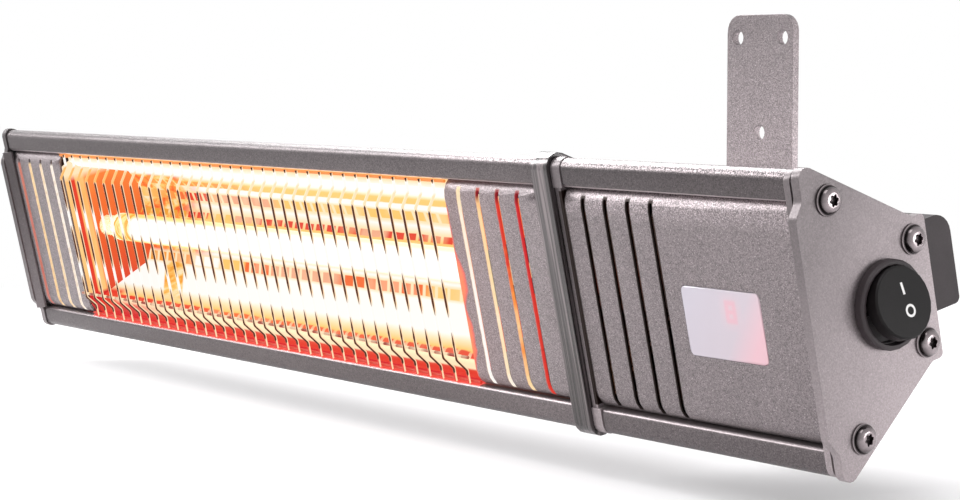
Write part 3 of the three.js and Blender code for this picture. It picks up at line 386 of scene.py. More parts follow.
# The slots' light as it cools away from the window, over this many millimetres.
COOLING = (8, 60)
SLOT_LIGHT = [
    (0.0, WHITE_HOT), (0.25, CREAM), (0.48, PALE_ORANGE), (0.60, ORANGE), (0.72, RED), (1.0, CRIMSON),
]
LEFT_SLOTS_TOP = (45.0, 43.5)    # the left panel's slots are lit from here down
OUTER_SLOT = (48, 51)            # the left panel's outermost slot is faint: from here on
OUTER_SLOT_LIGHT = ((0.45, 0.07, 0.08), (0.72, 0.30, 0.28))


def slot_light(s, place, away, h, right, edge):
    """Colour of the lamp's light in the slots; away is the distance from the window."""
    left = s.minus(1.0, right)
    drift = s.noise(s.stretched(place, (9.0, 0.0, 45.0)), 1.0, 3, 0.6)
    far = s.plus(away, s.times(s.minus(drift, 0.5), 26 * MM))
    far = s.plus(far, s.times(h, s.span(right, 0, 1, -0.10, 0.22)))
    cooling = s.fade(s.times(far, s.span(right, 0, 1, 0.60, 1.0)), *COOLING)
    hot = s.ramp(cooling, SLOT_LIGHT)
    top = s.times(s.fade(h, 41, 45), s.fade(away, 14, 24))
    hot = s.mix(s.times(top, right), hot, DARK_RED)
    hot = s.mix(s.times(left, s.fade(away, *OUTER_SLOT)), hot, s.mix(drift, *OUTER_SLOT_LIGHT))
    knots = s.span(s.noise(s.stretched(place, (20.0, 0.0, 95.0)), 1.0, 2, 0.5), 0.66, 0.70)
    hot = s.mix(s.times(knots, right), hot, EMBER)
    return s.mix(s.times(s.span(edge, 0.9, 1.5), 0.5), hot, s.mix(cooling, YELLOW, RED))


RIM_WIDTH = 1.5          # width of the painted rim of red light beside the window, on the right panel
RIM_WANDER = 2.4
RIM_BULGES = [(-2, 6, 11, 4.6), (-33, -20, 9, 3.2)]     # heights from and to, fade, width
RIM_LIGHT = ((0.82, 0.11, 0.09), (0.95, 0.22, 0.09))
# painted glow of the lamp's light on the right panel near the window
HAZE = (0.045, 0.012, 0.010)


def window_rim(s, place, from_window, h):
    """Depth inside the ragged rim of red light beside the window."""
    first, second = (s.times(s.zone(h, low, high, soft), width * MM) for low, high, soft, width in RIM_BULGES)
    width = s.plus(s.plus(first, second), RIM_WIDTH * MM)
    wander = s.times(s.minus(s.noise(place, 170, 3, 0.6), 0.5), RIM_WANDER * MM)
    return s.minus(s.plus(width, wander), from_window)


def slot_glow(s, tone):
    """The lamp's light in and around the slots, and its red rim on the right panel's edge."""
    place = s.body_place()
    x, d, h = s.axes(place)
    from_left = s.minus(WINDOW[0] * MM, x)
    from_right = s.minus(x, WINDOW[1] * MM)
    right = s.above(from_right, from_left)
    away = s.math("MAXIMUM", from_left, from_right)
    ragged = s.times(s.minus(s.noise(place, 260, 2, 0.6), 0.5), 0.7)
    spread = s.times(s.minus(1.0, right), 0.30)
    edge = s.minus(s.plus(off_slot(s, away, SLOT_TO_WINDOW), ragged), spread)
    slots = s.all_of(
        s.span(edge, 1.75, 1.15),
        s.zone(h, SLOT_LOW, SLOT_HIGH, 0.8),
        s.any_of(right, s.fade(h, *LEFT_SLOTS_TOP)),
        s.below(away, (SLOT_TO_WINDOW + (SLOT_COUNT - 0.5) * SLOT_PITCH) * MM),
        s.above(away, (SLOT_TO_WINDOW - SLOT_SIDE) * MM),
    )
    hot = slot_light(s, place, away, h, right, edge)
    inside = window_rim(s, place, from_right, h)
    rim = s.all_of(right, s.fade(inside, 0.0, 1.4), s.zone(h, -46, 38, 3))
    haze = s.all_of(s.fade(away, 60, 5), s.below(away, 70 * MM), right)
    glow = s.mix(rim, s.mix(haze, BLACK, HAZE), s.mix(s.fade(inside, 1.0, 3.5), *RIM_LIGHT))
    s.look(Emission_Color=s.mix(slots, glow, hot), Emission_Strength=1.0)
    # Painted shade: the base colour goes nearly black in the slots and under the red rim of light.
    return s.mix(s.any_of(slots, s.times(rim, 0.85)), tone, NEARLY_BLACK)


def slot_shade(s, tone):
    """The control panel: painted shade in the slots, on their edges and along its edge at the joint, and
    painted highlight specks on its upper roll.
    """
    x, d, h = s.axes(s.body_place())
    last_slot = CONTROL_SLOT + (SLOT_COUNT - 1) * SLOT_PITCH
    dark = s.all_of(
        s.span(off_slot(s, x, CONTROL_SLOT), 1.7, 1.35),
        s.zone(h, SLOT_LOW, SLOT_HIGH, 0.8),
        s.zone(x, CONTROL_SLOT - SLOT_SIDE, last_slot + SLOT_SIDE, 1),
    )
    edge = s.all_of(s.fade(x, CONTROL_EDGE, CONTROL_EDGE - 0.5), s.zone(h, -50, 50, 1))
    tone = speckled_highlight(s, tone, s.fade(h, 38, 46), 0.87, 0.40, 0.62, 0.85, 1.8)
    return s.mix(s.any_of(dark, edge), tone, NEARLY_BLACK)


LEDGE_DEPTHS = (-13.2, -5)       # the lips' ledges, lit by the lamp
LOW_LEDGE = [(0.0, CREAM), (0.07, SALMON), (0.12, RED), (1.0, CRIMSON)]
HIGH_LEDGE = [(0.0, CREAM), (0.2, ORANGE), (1.0, ORANGE)]


def ledge_light(s, x, d, h):
    """The window's light on the lips' ledges, and behind the corners at its left side."""
    half = s.absolute(h)
    upper = s.above(h, 0.0)
    ledge = s.all_of(
        s.zone(x, WINDOW[0] + 1, WINDOW[1] - 1, 1.2),
        s.zone(half, LIP_HALF - 0.3, LIP_HALF + 0.5, 0.2),
        s.below(d, -1 * MM),
    )
    depth = s.fade(d, *LEDGE_DEPTHS)
    hot = s.mix(upper, s.ramp(depth, LOW_LEDGE), s.ramp(depth, HIGH_LEDGE))
    corner = s.all_of(s.zone(x, WINDOW[0] - 22, WINDOW[0], 1), s.zone(d, -5, 10, 1), s.fade(half, 52, 51.6))
    return s.mix(corner, s.mix(ledge, BLACK, hot), s.mix(upper, CRIMSON, ORANGE))


def profile_silver():
    """Smoother, darker metallic coat of the extrusions, with painted highlights: bright rims at the lips'
    inner edges and lit specks on the roof's edge.
    """
    s = Shader("profile_silver", Metallic=0.8, IOR=1.5)
    tone, fine, cells = coat(s, 0.062, 0.115, 2000)
    x, d, h = s.axes(s.body_place())
    upper = s.above(h, 0.0)
    # painted highlight along the lips' inner edges, brighter on the upper lip
    rim = s.all_of(s.zone(s.absolute(h), LIP_HALF - 0.3, LIP_HALF + 0.9, 0.3), s.below(d, -8 * MM))
    tone = s.scaled(tone, s.fade(x, *JOINT, 1.2, 0.88))
    to_right = (JOINT[0] - 120, JOINT[1])
    # painted highlight: the lower lip grows lighter towards the right
    low_right = s.times(s.below(h, 0.0), s.fade(x, *to_right))
    tone = s.scaled(tone, s.span(low_right, 0, 1, 1.0, 1.5))
    # painted highlight specks on the roof's edge, towards the right
    top = s.times(s.fade(h, 61, 63.5), s.fade(x, *to_right, -0.2, 1.0))
    tone = speckled_highlight(s, tone, top, 1.0, 0.42, 0.60, 0.6, 4.0)
    s.look(Base_Color=s.mix(s.times(rim, 0.8), tone, s.mix(upper, grey(0.24), grey(0.55))))
    s.look(Roughness=s.span(fine, 0.3, 0.7, 0.32, 0.42))
    s.bump(s.plus(fine, s.times(cells, 0.8)), 0.3, 0.12 * MM)
    s.look(Emission_Color=ledge_light(s, x, d, h), Emission_Strength=1.0)
    return s.material


def end_metal(name="end_metal", groove=False, shade=1.0):
    """Smooth warm grey metallic paint of the end plates and joint frames, with painted light: lighter towards
    its lower back.
    """
    s = Shader(name, Metallic=0.55, IOR=1.5)
    tone, fine, cells = coat(s, 0.25, 0.32, 1700, 0.02, 1.2)
    x, d, h = s.axes(s.body_place())
    tone = s.scaled(tone, s.fade(s.minus(d, h), -45, 75, 0.50 * shade, 1.30 * shade))
    if groove:
        # painted shade of the gap beside the control panel
        dark = s.all_of(s.zone(x, *RING_GROOVE, 0.2), s.zone(h, -50, 50, 0.5))
        tone = s.mix(dark, tone, NEARLY_BLACK)
    s.look(Base_Color=tone, Roughness=s.span(fine, 0.3, 0.7, 0.36, 0.46))
    s.bump(s.plus(fine, cells), 0.12, 0.08 * MM)
    return s.material


def dark_trim():
    """Dark glossy moulded collar, with painted reflections as streaks along its section."""
    s = Shader("dark_trim", Metallic=0.35, Coat_Weight=0.4, Coat_Roughness=0.15)
    painted_reflections = s.noise(s.stretched(s.body_place(), (380.0, 380.0, 7.0)), 1.0, 3, 0.65)
    tones = [(0.38, (0.016, 0.013, 0.013)), (0.50, (0.062, 0.051, 0.053)), (0.62, (0.18, 0.15, 0.154))]
    s.look(Base_Color=s.ramp(painted_reflections, tones), Roughness=s.span(painted_reflections, 0.3, 0.7, 0.24, 0.36))
    s.bump(s.noise(s.place(), 900), 0.05, 0.1 * MM)
    return s.material


def black_plastic(name="black_plastic", tone=0.030, rough=0.42, shine=0.35, marks=None):
    """Moulded black plastic with a fine spark-eroded grain."""
    s = Shader(name, IOR=1.46, Specular_IOR_Level=shine)
    place = s.place()
    fine = s.noise(place, 1600, 2)
    low = (tone, 0.78 * tone, 0.85 * tone)
    colour = s.ramp(s.noise(place, 40, 2), [(0.3, low), (0.7, tuple(1.5 * c for c in low))])
    if marks:
        colour = s.mix(marks(s), colour, (0.82, 0.81, 0.80))
    s.look(Base_Color=colour, Roughness=s.span(fine, 0.3, 0.7, rough, rough + 0.14))
    s.bump(fine, 0.25, 0.08 * MM)
    return s.material


# The rocker's marks in millimetres on its face: across to the back, and up.
ON_STROKE = ((0.75, 1.85), (3.0, 7.9))
OFF_RING = (1.9, -4.1)
OFF_RADII = (1.75, 2.65)
PRINT_EDGE = 0.12


def switch_marks(s):
    """The on stroke and the off ring, printed on the rocker's face."""
    x, d, h = s.axes(s.body_place())
    cos, sin = math.cos(ROCKER_TILT), math.sin(ROCKER_TILT)
    out = s.minus(x, ROCKER_PIVOT * MM)
    across = s.minus(d, SWITCH_DEPTH * MM)
    up = s.minus(s.times(h, cos), s.times(out, sin))
    outward = s.plus(s.times(out, cos), s.times(h, sin))
    stroke = s.all_of(s.zone(across, *ON_STROKE[0], PRINT_EDGE), s.zone(up, *ON_STROKE[1], PRINT_EDGE))
    ring_x = s.minus(across, OFF_RING[0] * MM)
    ring_y = s.minus(up, OFF_RING[1] * MM)
    radius = s.math("SQRT", s.plus(s.times(ring_x, ring_x), s.times(ring_y, ring_y)))
    face = s.above(outward, (ROCKER_RISE - 0.15) * MM)
    return s.times(face, s.any_of(stroke, s.zone(radius, *OFF_RADII, PRINT_EDGE)))


def rubber():
    """Matte black gaskets."""
    s = Shader("rubber")
    fine = s.noise(s.place(), 900, 2)
    s.look(Base_Color=s.ramp(fine, [(0.3, (0.012, 0.012, 0.012)), (0.7, (0.03, 0.03, 0.03))]))
    s.look(Roughness=s.span(fine, 0.3, 0.7, 0.6, 0.8))
    s.bump(fine, 0.2, 0.1 * MM)
    return s.material


def plated_steel(name, tone, rough):
    """Bright steel of the lamp holders, the pivot and the other screws."""
    s = Shader(name, Metallic=1.0)
    place = s.place()
    cloud = s.noise(place, 260, 3)
    s.look(Base_Color=s.ramp(cloud, [(0.3, grey(0.72 * tone)), (0.7, grey(tone))]))
    s.look(Roughness=s.span(cloud, 0.3, 0.7, rough, rough + 0.12))
    s.bump(s.noise(place, 1500, 2), 0.08, 0.1 * MM)
    return s.material


def ceramic():
    """Unglazed ends of the lamp, in its light."""
    s = Shader("ceramic")
    fine = s.noise(s.place(), 700, 3)
    s.look(Base_Color=s.ramp(fine, [(0.3, (0.66, 0.58, 0.46)), (0.7, (0.80, 0.74, 0.62))]))
    s.look(Roughness=s.span(fine, 0.3, 0.7, 0.5, 0.7))
    s.bump(fine, 0.2, 0.1 * MM)
    s.look(Emission_Color=s.ramp(fine, [(0.3, YELLOW), (0.7, CREAM)]), Emission_Strength=0.7)
    return s.material


def circuit():
    """Green circuit board."""
    s = Shader("circuit")
    cells = s.cells(s.place(), 160)
    s.look(Base_Color=s.ramp(cells, [(0.4, (0.008, 0.05, 0.025)), (0.9, (0.02, 0.09, 0.05))]))
    s.look(Roughness=s.span(cells, 0, 1, 0.35, 0.6))
    return s.material


# Faint seven-bar figure behind the frosted window, in millimetres.
DIGIT_W = 5.6
DIGIT_H = 9.0
DIGIT_BAR = 1.1
DIGIT_BLUR = 1.2
DIGIT_AT = (-53.0, 2.6)
# Tones of the frosted window along its length: grey-lilac, and pinker towards its right end, a painted glow.
FROST = [(0.0, (0.47, 0.44, 0.50)), (0.7, (0.50, 0.44, 0.49)), (1.0, (0.66, 0.41, 0.46))]
FROST_LEAN = 12.0        # share of the window's length per metre of height
HALO_PINK = (0.86, 0.36, 0.40)
DIGIT_RED = (0.86, 0.20, 0.26)


def lens():
    """Frosted display window with a faint lit figure."""
    s = Shader("lens", IOR=1.49, Coat_Weight=0.2, Coat_Roughness=0.1)
    x, d, h = s.axes(s.body_place())
    low, high = (v.x - PLATE_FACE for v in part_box("display_lens"))
    tone = s.ramp(s.minus(s.span(x, low, high), s.times(h, FROST_LEAN)), FROST)
    u = s.absolute(s.minus(x, DIGIT_AT[0] * MM))
    v = s.absolute(s.minus(h, DIGIT_AT[1] * MM))
    half_w, half_h = DIGIT_W / 2, DIGIT_H / 2
    uprights = s.all_of(
        s.zone(u, half_w - DIGIT_BAR, half_w, DIGIT_BLUR),
        s.fade(v, half_h + DIGIT_BLUR, half_h),
    )
    bars = s.all_of(
        s.fade(u, half_w + DIGIT_BLUR, half_w),
        s.any_of(s.zone(v, half_h - DIGIT_BAR, half_h, DIGIT_BLUR), s.fade(v, 1.4, 0.5)),
    )
    halo = s.all_of(s.fade(u, 7.5, 1), s.fade(v, 9, 2))
    tone = s.mix(s.times(halo, 0.22), tone, HALO_PINK)
    tone = s.mix(s.times(s.any_of(uprights, bars), 0.20), tone, DIGIT_RED)
    s.look(Base_Color=tone, Roughness=s.span(s.noise(s.place(), 70, 2), 0.0, 1.0, 0.25, 0.28))
    return s.material


# Light of the folded sheet by distance above or below the middle: what each facet shows of the lamp.
UPPER_GLOW = [
    (0.0, CREAM), (1.4, YELLOW), (6.0, CREAM), (9.0, WHITE_HOT), (11.0, CREAM), (17.0, CREAM),
    (18.5, WHITE_HOT), (21.0, WHITE_HOT), (22.0, YELLOW), (25.0, YELLOW), (26.5, CREAM),
    (28.0, WHITE_HOT), (45.0, WHITE_HOT), (47.5, CREAM), (51.5, YELLOW),
]
LOWER_GLOW = [
    (0.0, CREAM), (14.0, YELLOW), (19.0, CREAM), (21.0, WHITE_HOT), (22.4, CREAM), (28.0, CREAM),
    (29.6, WHITE_HOT), (37.0, WHITE_HOT), (38.5, CREAM), (40.5, YELLOW), (41.2, SALMON), (43.2, CREAM),
    (46.2, CREAM), (47.2, RED), (51.5, RED),
]
# Coloured rows across the window: heights from and to, then colours at distances from its left end.
ROWS = [
    (21.8, 24.6, [(0, ORANGE), (100, ORANGE), (160, YELLOW), (404, YELLOW)]),
    (12.0, 16.5, [
        (0, YELLOW), (40, ORANGE), (60, RED), (82, RED), (84, ORANGE), (104, SALMON), (150, SALMON),
        (165, YELLOW), (325, YELLOW), (340, SALMON), (380, CREAM),
    ]),
    (2.2, 5.0, [
        (0, OCHRE), (56, OCHRE), (59, RED), (82, RED), (84, YELLOW), (108, YELLOW), (116, SALMON),
        (142, SALMON), (146, RED), (246, RED), (250, SALMON), (272, SALMON), (276, RED), (404, RED),
    ]),
    (-27.8, -23.0, [
        (0, OCHRE), (56, ORANGE), (59, WHITE_HOT), (86, WHITE_HOT), (90, YELLOW), (116, YELLOW),
        (118, DEEP_ORANGE), (145, DEEP_ORANGE), (150, SALMON), (215, SALMON), (226, DEEP_ORANGE),
        (298, DEEP_ORANGE), (310, YELLOW), (404, CREAM),
    ]),
    (-42.6, -40.8, [(0, RED), (110, RED), (150, DEEP_ORANGE), (404, RED)]),
]
ROW_FADE = 0.35
ROW_LEAN = 0.35          # the rows' breaks lean, along the heater for each step up
DIM_LEFT = (80, 50)      # from the window's left end, where the back facets show less of the lamp
DIM_HEIGHTS = (-21, 27)
DIM_TONES = [(0.38, DEEP_ORANGE), (0.47, ORANGE), (0.53, YELLOW), (0.64, CREAM)]


def facet_light(s, place, height):
    """What the folded sheet's facets show of the lamp; to the left the back ones show less of it."""
    x, d, h = s.axes(place)
    upper = s.ramp(s.fade(height, 0, LIP_HALF), [(v / LIP_HALF, c) for v, c in UPPER_GLOW])
    lower = s.ramp(s.fade(height, 0, -LIP_HALF), [(v / LIP_HALF, c) for v, c in LOWER_GLOW])
    patches = s.noise(s.stretched(place, (55.0, 0.0, 110.0)), 1.0, 3, 0.6)
    dim = s.all_of(s.fade(s.minus(x, WINDOW[0] * MM), *DIM_LEFT), s.zone(h, *DIM_HEIGHTS, 2))
    return s.mix(dim, s.mix(s.above(h, 0.0), lower, upper), s.ramp(patches, DIM_TONES))


def with_rows(s, glow, place, height):
    """The coloured rows over that light, broken where each wire of the guard is mirrored."""
    x, d, h = s.axes(place)
    along = s.minus(x, WINDOW[0] * MM)
    dash = s.band(s.turns(s.plus(x, s.times(h, ROW_LEAN)), 0, WIRE_PITCH), 0.10, 0.80, 0.06)
    spots = s.grey(s.noise(s.stretched(place, (38.0, 0.0, 25.0)), 1.0, 2, 0.6), [(0.36, 0.65), (0.48, 1.0)])
    for low, high, tones in ROWS:
        row = s.all_of(s.zone(height, low, high, ROW_FADE), dash, spots)
        length = tones[-1][0]
        glow = s.mix(row, glow, s.ramp(s.fade(along, 0, length), [(v / length, c) for v, c in tones]))
    return glow


# Golden upright mirror image of the lamp's holder: along the window plus 1.5 depths, and heights.
HOLDER_IMAGE = (73.5, 95.0)
HOLDER_SLANT = 1.5
HOLDER_HEIGHTS = (-38.5, -28)
HOLDER_GOLD = [(0.38, OCHRE), (0.50, YELLOW), (0.62, CREAM)]
# Painted red light in the lower corners at the window's left end: fades along the window and downwards,
# colour.
RED_CORNERS = [((85, 45), (-43.0, -44.5), CRIMSON), ((22, 14), (-38.5, -40), RED)]


def with_left_end(s, glow, place):
    """The holder's mirror image and the painted red light in the lower corners, over the rest."""
    x, d, h = s.axes(place)
    along = s.minus(x, WINDOW[0] * MM)
    image = s.plus(along, s.times(d, HOLDER_SLANT))
    holder = s.all_of(s.zone(image, *HOLDER_IMAGE, 1.5), s.zone(h, *HOLDER_HEIGHTS, 1))
    flecks = s.noise(s.stretched(place, (60.0, 60.0, 130.0)), 1.0, 3, 0.6)
    glow = s.mix(holder, glow, s.ramp(flecks, HOLDER_GOLD))
    for reach, drop, colour in RED_CORNERS:
        glow = s.mix(s.all_of(s.fade(along, *reach), s.fade(h, *drop)), glow, colour)
    return glow


SHEET_TONES = [(0.05, (0.72, 0.06, 0.03)), (0.45, DEEP_ORANGE), (0.68, (0.90, 0.19, 0.045)), (0.95, ORANGE)]
SHEET_FRONT = [(0.38, (1.0, 0.45, 0.12)), (0.62, (1.0, 0.66, 0.28))]
SHEET_FOLD = (1.0, 3.0)          # depths
SHEET_RIM = (-7.0, -4.8)


def sheet_light(s, place):
    """The end sheets' painted light: yellow at the fold beside the window, deep orange behind it, redder
    below.
    """
    x, d, h = s.axes(place)
    cloth = s.noise(s.stretched(place, (40.0, 40.0, 14.0)), 1.0, 4, 0.6)
    shade = s.plus(s.fade(h, -40, 45), s.times(s.minus(cloth, 0.5), 0.55))
    front = s.mix(s.zone(d, *SHEET_RIM, 0.8), s.ramp(cloth, SHEET_FRONT), RED)
    sheet = s.mix(s.fade(d, *SHEET_FOLD), front, s.ramp(shade, SHEET_TONES))
    sheet = s.mix(s.fade(h, 33, 37), sheet, CREAM)
    return s.mix(s.fade(h, -38, -40), sheet, CRIMSON)


def reflector_metal():
    """Polished folded sheet and its end sheets, lit by the lamp in front of them."""
    s = Shader("reflector", Metallic=1.0)
    place = s.body_place()
    streak = s.noise(s.stretched(place, (8.0, 60.0, 60.0)), 1.0, 3, 0.6)
    s.look(Base_Color=s.ramp(streak, [(0.3, (0.05, 0.014, 0.004)), (0.7, (0.08, 0.03, 0.01))]))
    s.look(Roughness=s.span(streak, 0.3, 0.7, 0.30, 0.42))
    wobble = s.minus(s.noise(s.stretched(place, (45.0, 0.0, 0.0)), 1.0, 2), 0.5)
    height = s.plus(s.axes(place)[2], s.times(wobble, 1.3 * MM))
    glow = with_rows(s, facet_light(s, place, height), place, height)
    glow = with_left_end(s, glow, place)
    glow = s.mix(s.span(s.side(), 0.5, 0.6), glow, sheet_light(s, place))
    s.look(Emission_Color=glow, Emission_Strength=1.0)
    return s.material


TUBE_GOLD = [(0.38, OCHRE), (0.46, YELLOW), (0.52, (1.0, 0.78, 0.36)), (0.60, OCHRE)]
TUBE_BANDS = (22, 17)            # from the tube's left end
TUBE_COOLER = (-440, -560)       # along the heater, where the tube's edges turn yellow


def lamp_glass():
    """Gold-coated quartz tube, glowing, with gold bands at its left end."""
    s = Shader("lamp_glass", Roughness=0.25)
    place = s.body_place()
    x, d, h = s.axes(place)
    from_end = s.minus(x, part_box("lamp_tube")[0].x - PLATE_FACE)
    gold = s.ramp(s.noise(s.stretched(place, (160.0, 30.0, 60.0)), 1.0, 2, 0.6), TUBE_GOLD)
    edge = s.any_of(s.fade(h, -4.5, -6.8), s.fade(h, 7.2, 8.2))
    along = s.mix(edge, WHITE_HOT, s.mix(s.fade(x, *TUBE_COOLER), CREAM, YELLOW))
    cloud = s.noise(s.place(), 90, 2)
    s.look(Base_Color=s.ramp(cloud, [(0.3, (0.05, 0.02, 0.008)), (0.7, (0.07, 0.03, 0.01))]))
    s.look(Emission_Color=s.mix(s.fade(from_end, *TUBE_BANDS), along, gold), Emission_Strength=1.15)
    return s.material


def filament():
    """Heating strip inside the lamp."""
    s = Shader("filament", Base_Color=(1.0, 0.9, 0.7), Roughness=0.5, Emission_Strength=12.0)
    cloud = s.noise(s.place(), 200, 2)
    s.look(Emission_Color=s.ramp(cloud, [(0.3, (1.0, 0.75, 0.4)), (0.7, (1.0, 0.95, 0.8))]))
    return s.material


def guard_steel(name):
    """Shader of the guard's steel: nearly black, with darker and lighter patches."""
    s = Shader(name, Metallic=0.7)
    mottle = s.noise(s.place(), 120, 3)
    s.look(Base_Color=s.ramp(mottle, [(0.3, NEARLY_BLACK), (0.7, (0.03, 0.012, 0.006))]))
    s.look(Roughness=s.span(mottle, 0.3, 0.7, 0.30, 0.45))
    return s


WIRE_LIT_SIDE = BODY.to_3x3() @ Vector((0.53, 0.85, 0.0))   # away from the camera, towards the lamp
WIRE_CORE = 0.72         # dark share of a wire's width
WIRE_CORE_OFF = 0.25     # how far the core sits off the wire's middle
WIRE_SHADE = (0.07, 0.014, 0.004)
WIRE_LIGHT = (1.0, 0.72, 0.46)
BEND_GOLD = (1.0, 0.52, 0.16)
# Light behind the wires, as a share of the way from the lower lip to the upper one.
BEHIND_WIRES = [
    (0.0, RED), (0.05, RED), (0.07, SALMON), (0.10, CREAM), (0.5, CREAM), (0.90, WHITE_HOT), (0.98, CREAM),
    (1.0, ORANGE),
]
# Glare that hides the wires: heights from and to, fade and, where it is weaker, strength.
GLARE = [(43.5, 49.4, 1.5), (-23, -17, 7), (-35, -32, 3, 0.35)]
LAMP_GLARE = (4.0, 11.5, 7.0)
LAMP_GLARE_LEAN = 0.012  # this one rises to the left
UPPER_BEND_GLARE = (37.5, 43.5, 1.5)
LOWER_BEND_GLARE = (-53, -47.5, 1)


def guard_wire():
    """Steel wire, dark against the glow; its side to the lamp is lit, and the glare eats into it."""
    s = guard_steel("guard_wire")
    x, d, h = s.axes(s.body_place())
    facing = s.add("ShaderNodeVectorMath", operation="DOT_PRODUCT")
    s.link(s.add("ShaderNodeTexCoord").outputs["Normal"], facing.inputs[0])
    facing.inputs[1].default_value = WIRE_LIT_SIDE
    across = facing.outputs["Value"]
    leaning = s.plus(h, s.times(s.minus(x, WINDOW[1] * MM), LAMP_GLARE_LEAN))
    white_out = s.any_of(s.zone(leaning, *LAMP_GLARE), *(s.zone(h, *part) for part in GLARE))
    upper_bend = s.zone(h, *UPPER_BEND_GLARE)
    glare = s.any_of(white_out, upper_bend, s.zone(h, *LOWER_BEND_GLARE))
    core = s.times(s.minus(1.0, glare), WIRE_CORE)
    off_core = s.absolute(s.plus(across, WIRE_CORE_OFF))
    dark = s.times(s.span(s.minus(off_core, core), 0.06, -0.06), s.span(core, 0.02, 0.12))
    behind = s.ramp(s.fade(h, -LIP_HALF, LIP_HALF), BEHIND_WIRES)
    lit = s.mix(s.span(across, -0.25, 0.0), behind, WIRE_LIGHT)
    lit = s.mix(s.span(white_out, 0.45, 0.95), lit, WHITE_HOT)
    near_left = s.fade(x, WINDOW[0] + 110, WINDOW[0] + 70)
    lit = s.mix(upper_bend, lit, s.mix(near_left, CREAM, BEND_GOLD))
    s.look(Emission_Color=s.mix(dark, lit, WIRE_SHADE), Emission_Strength=1.0)
    return s.material


ROD_SHADE = (0.35, 0.03, 0.015)


def guard_rod():
    """The guard's cross rods in painted light: orange above, red below, broken by the glare at the lower
    bend.
    """
    s = guard_steel("guard_rod")
    x, d, h = s.axes(s.body_place())
    dash = s.band(s.turns(x, WINDOW[0] + WIRE_MARGIN, WIRE_PITCH), 0.25, 0.85, 0.08)
    spots = s.grey(s.noise(s.stretched(s.place(), (60.0, 0.0, 0.0)), 1.0, 2), [(0.4, 0.3), (0.55, 1.0)])
    bend = s.mix(s.times(dash, spots), CREAM, ROD_SHADE)
    lower = s.mix(s.fade(h, -42, -44), bend, RED)
    s.look(Emission_Color=s.mix(s.above(h, 0.0), lower, ORANGE), Emission_Strength=0.9)
    return s.material


# Painted light and shade of a screw head by its height above the plate.
SCREW_SHADING = [
    # height above the plate as a share of SCREW_RISE, grey
    (0.0, 0.10), (0.24, 0.34), (0.28, 0.02), (0.50, 0.04), (0.66, 0.14), (0.90, 0.30), (1.0, 0.34),
]


def screw_steel():
    """Dark chromed heads of the end screws, with painted light and shade by height: light on the flange,
    painted shade in the groove and recess, a painted highlight on the dome.
    """
    s = Shader("screw_steel", Metallic=1.0)
    x, d, h = s.axes(s.body_place())
    rise = s.math("MAXIMUM", x, s.minus(LEFT_END * MM, x))
    tone = s.ramp(s.fade(rise, 0, SCREW_RISE), [(share, grey(v)) for share, v in SCREW_SHADING])
    cloud = s.noise(s.place(), 260, 3)
    s.look(Base_Color=s.mix(1.0, tone, s.grey(cloud, [(0.3, 0.75), (0.7, 1.15)]), "MULTIPLY"))
    s.look(Roughness=s.span(cloud, 0.3, 0.7, 0.16, 0.26))
    s.bump(s.noise(s.place(), 1500, 2), 0.08, 0.1 * MM)
    return s.material


FINISH = {
    "powder_silver": powder_silver(),
    "strap_silver": powder_silver("strap_silver", strap_painted_light),
    "panel_silver": powder_silver("panel_silver", slot_glow),
    "vented_silver": powder_silver("vented_silver", slot_shade),
    "profile_silver": profile_silver(),
    "end_metal": end_metal(),
    "grooved_metal": end_metal("grooved_metal", groove=True),
    # the left end cap: the end plates' paint darkened, as painted shade
    "cap_metal": end_metal("cap_metal", shade=0.55),
    "dark_trim": dark_trim(),
    "rubber": rubber(),
    "lens": lens(),
    "black_plastic": black_plastic(),
    "marked_plastic": black_plastic("marked_plastic", 0.005, 0.36, 0.2, marks=switch_marks),
    "circuit": circuit(),
    "guard_wire": guard_wire(),
    "guard_rod": guard_rod(),
    "reflector": reflector_metal(),
    "lamp_glass": lamp_glass(),
    "filament": filament(),
    "ceramic": ceramic(),
    "bare_steel": plated_steel("bare_steel", 0.55, 0.35),
    "plated_screw": plated_steel("plated_screw", 0.40, 0.20),
    "screw_steel": screw_steel(),
    "nylon": black_plastic("nylon", 0.018, 0.5),
}
OWN_FINISH = {
    "left_panel": "panel_silver", "right_panel": "panel_silver", "switch_rocker": "marked_plastic",
    "wall_bracket": "strap_silver", "collar_ring": "grooved_metal",
    "left_end_cap": "cap_metal", "control_panel": "vented_silver",
}


# Widths of the rounded edges in millimetres.
EASED_EDGE = {
    "collar": 1.0, "collar_ring": 0.5, "collar_flange": 0.4, "right_end_plate": 0.6, "right_end_frame": 0.5,
    "left_end_cap": 0.6, "wall_bracket": 0.5, "switch_base": 0.5, "switch_rocker": 0.4, "rear_box": 0.7,
}


WELD_GAP = 0.01
EASED_ANGLE = math.radians(32)   # edges that turn more than this are rounded
SHARP_ANGLE = math.radians(40)   # and those of the new pieces stay sharp from here


def dress(obj, finish):
    """One finish over the whole object."""
    obj.data.materials.clear()
    obj.data.materials.append(FINISH[finish])


def ease(node, width):
    """Small rounded edges that catch the light, on welded copies of the solid's facets."""
    weld = node.modifiers.new("weld", "WELD")
    weld.merge_threshold = WELD_GAP * MM
    if width:
        bevel = node.modifiers.new("bevel", "BEVEL")
        bevel.width = width * MM
        bevel.segments = 2
        bevel.limit_method = "ANGLE"
        bevel.angle_limit = EASED_ANGLE
    normals = node.modifiers.new("normals", "WEIGHTED_NORMAL")
    normals.keep_sharp = False


def dress_cad_nodes():
    """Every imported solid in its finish, smooth, with its edges eased."""
    for part in frame["record"]["subparts"]:
        name = part["node"]
        node = frame["nodes"][name]
        slot = part["material_slot"]
        dress(node, OWN_FINISH.get(name, "plated_screw" if slot == "screw_steel" else slot))
        node.data.polygons.foreach_set("use_smooth", [True] * len(node.data.polygons))
        ease(node, EASED_EDGE.get(name, 0))


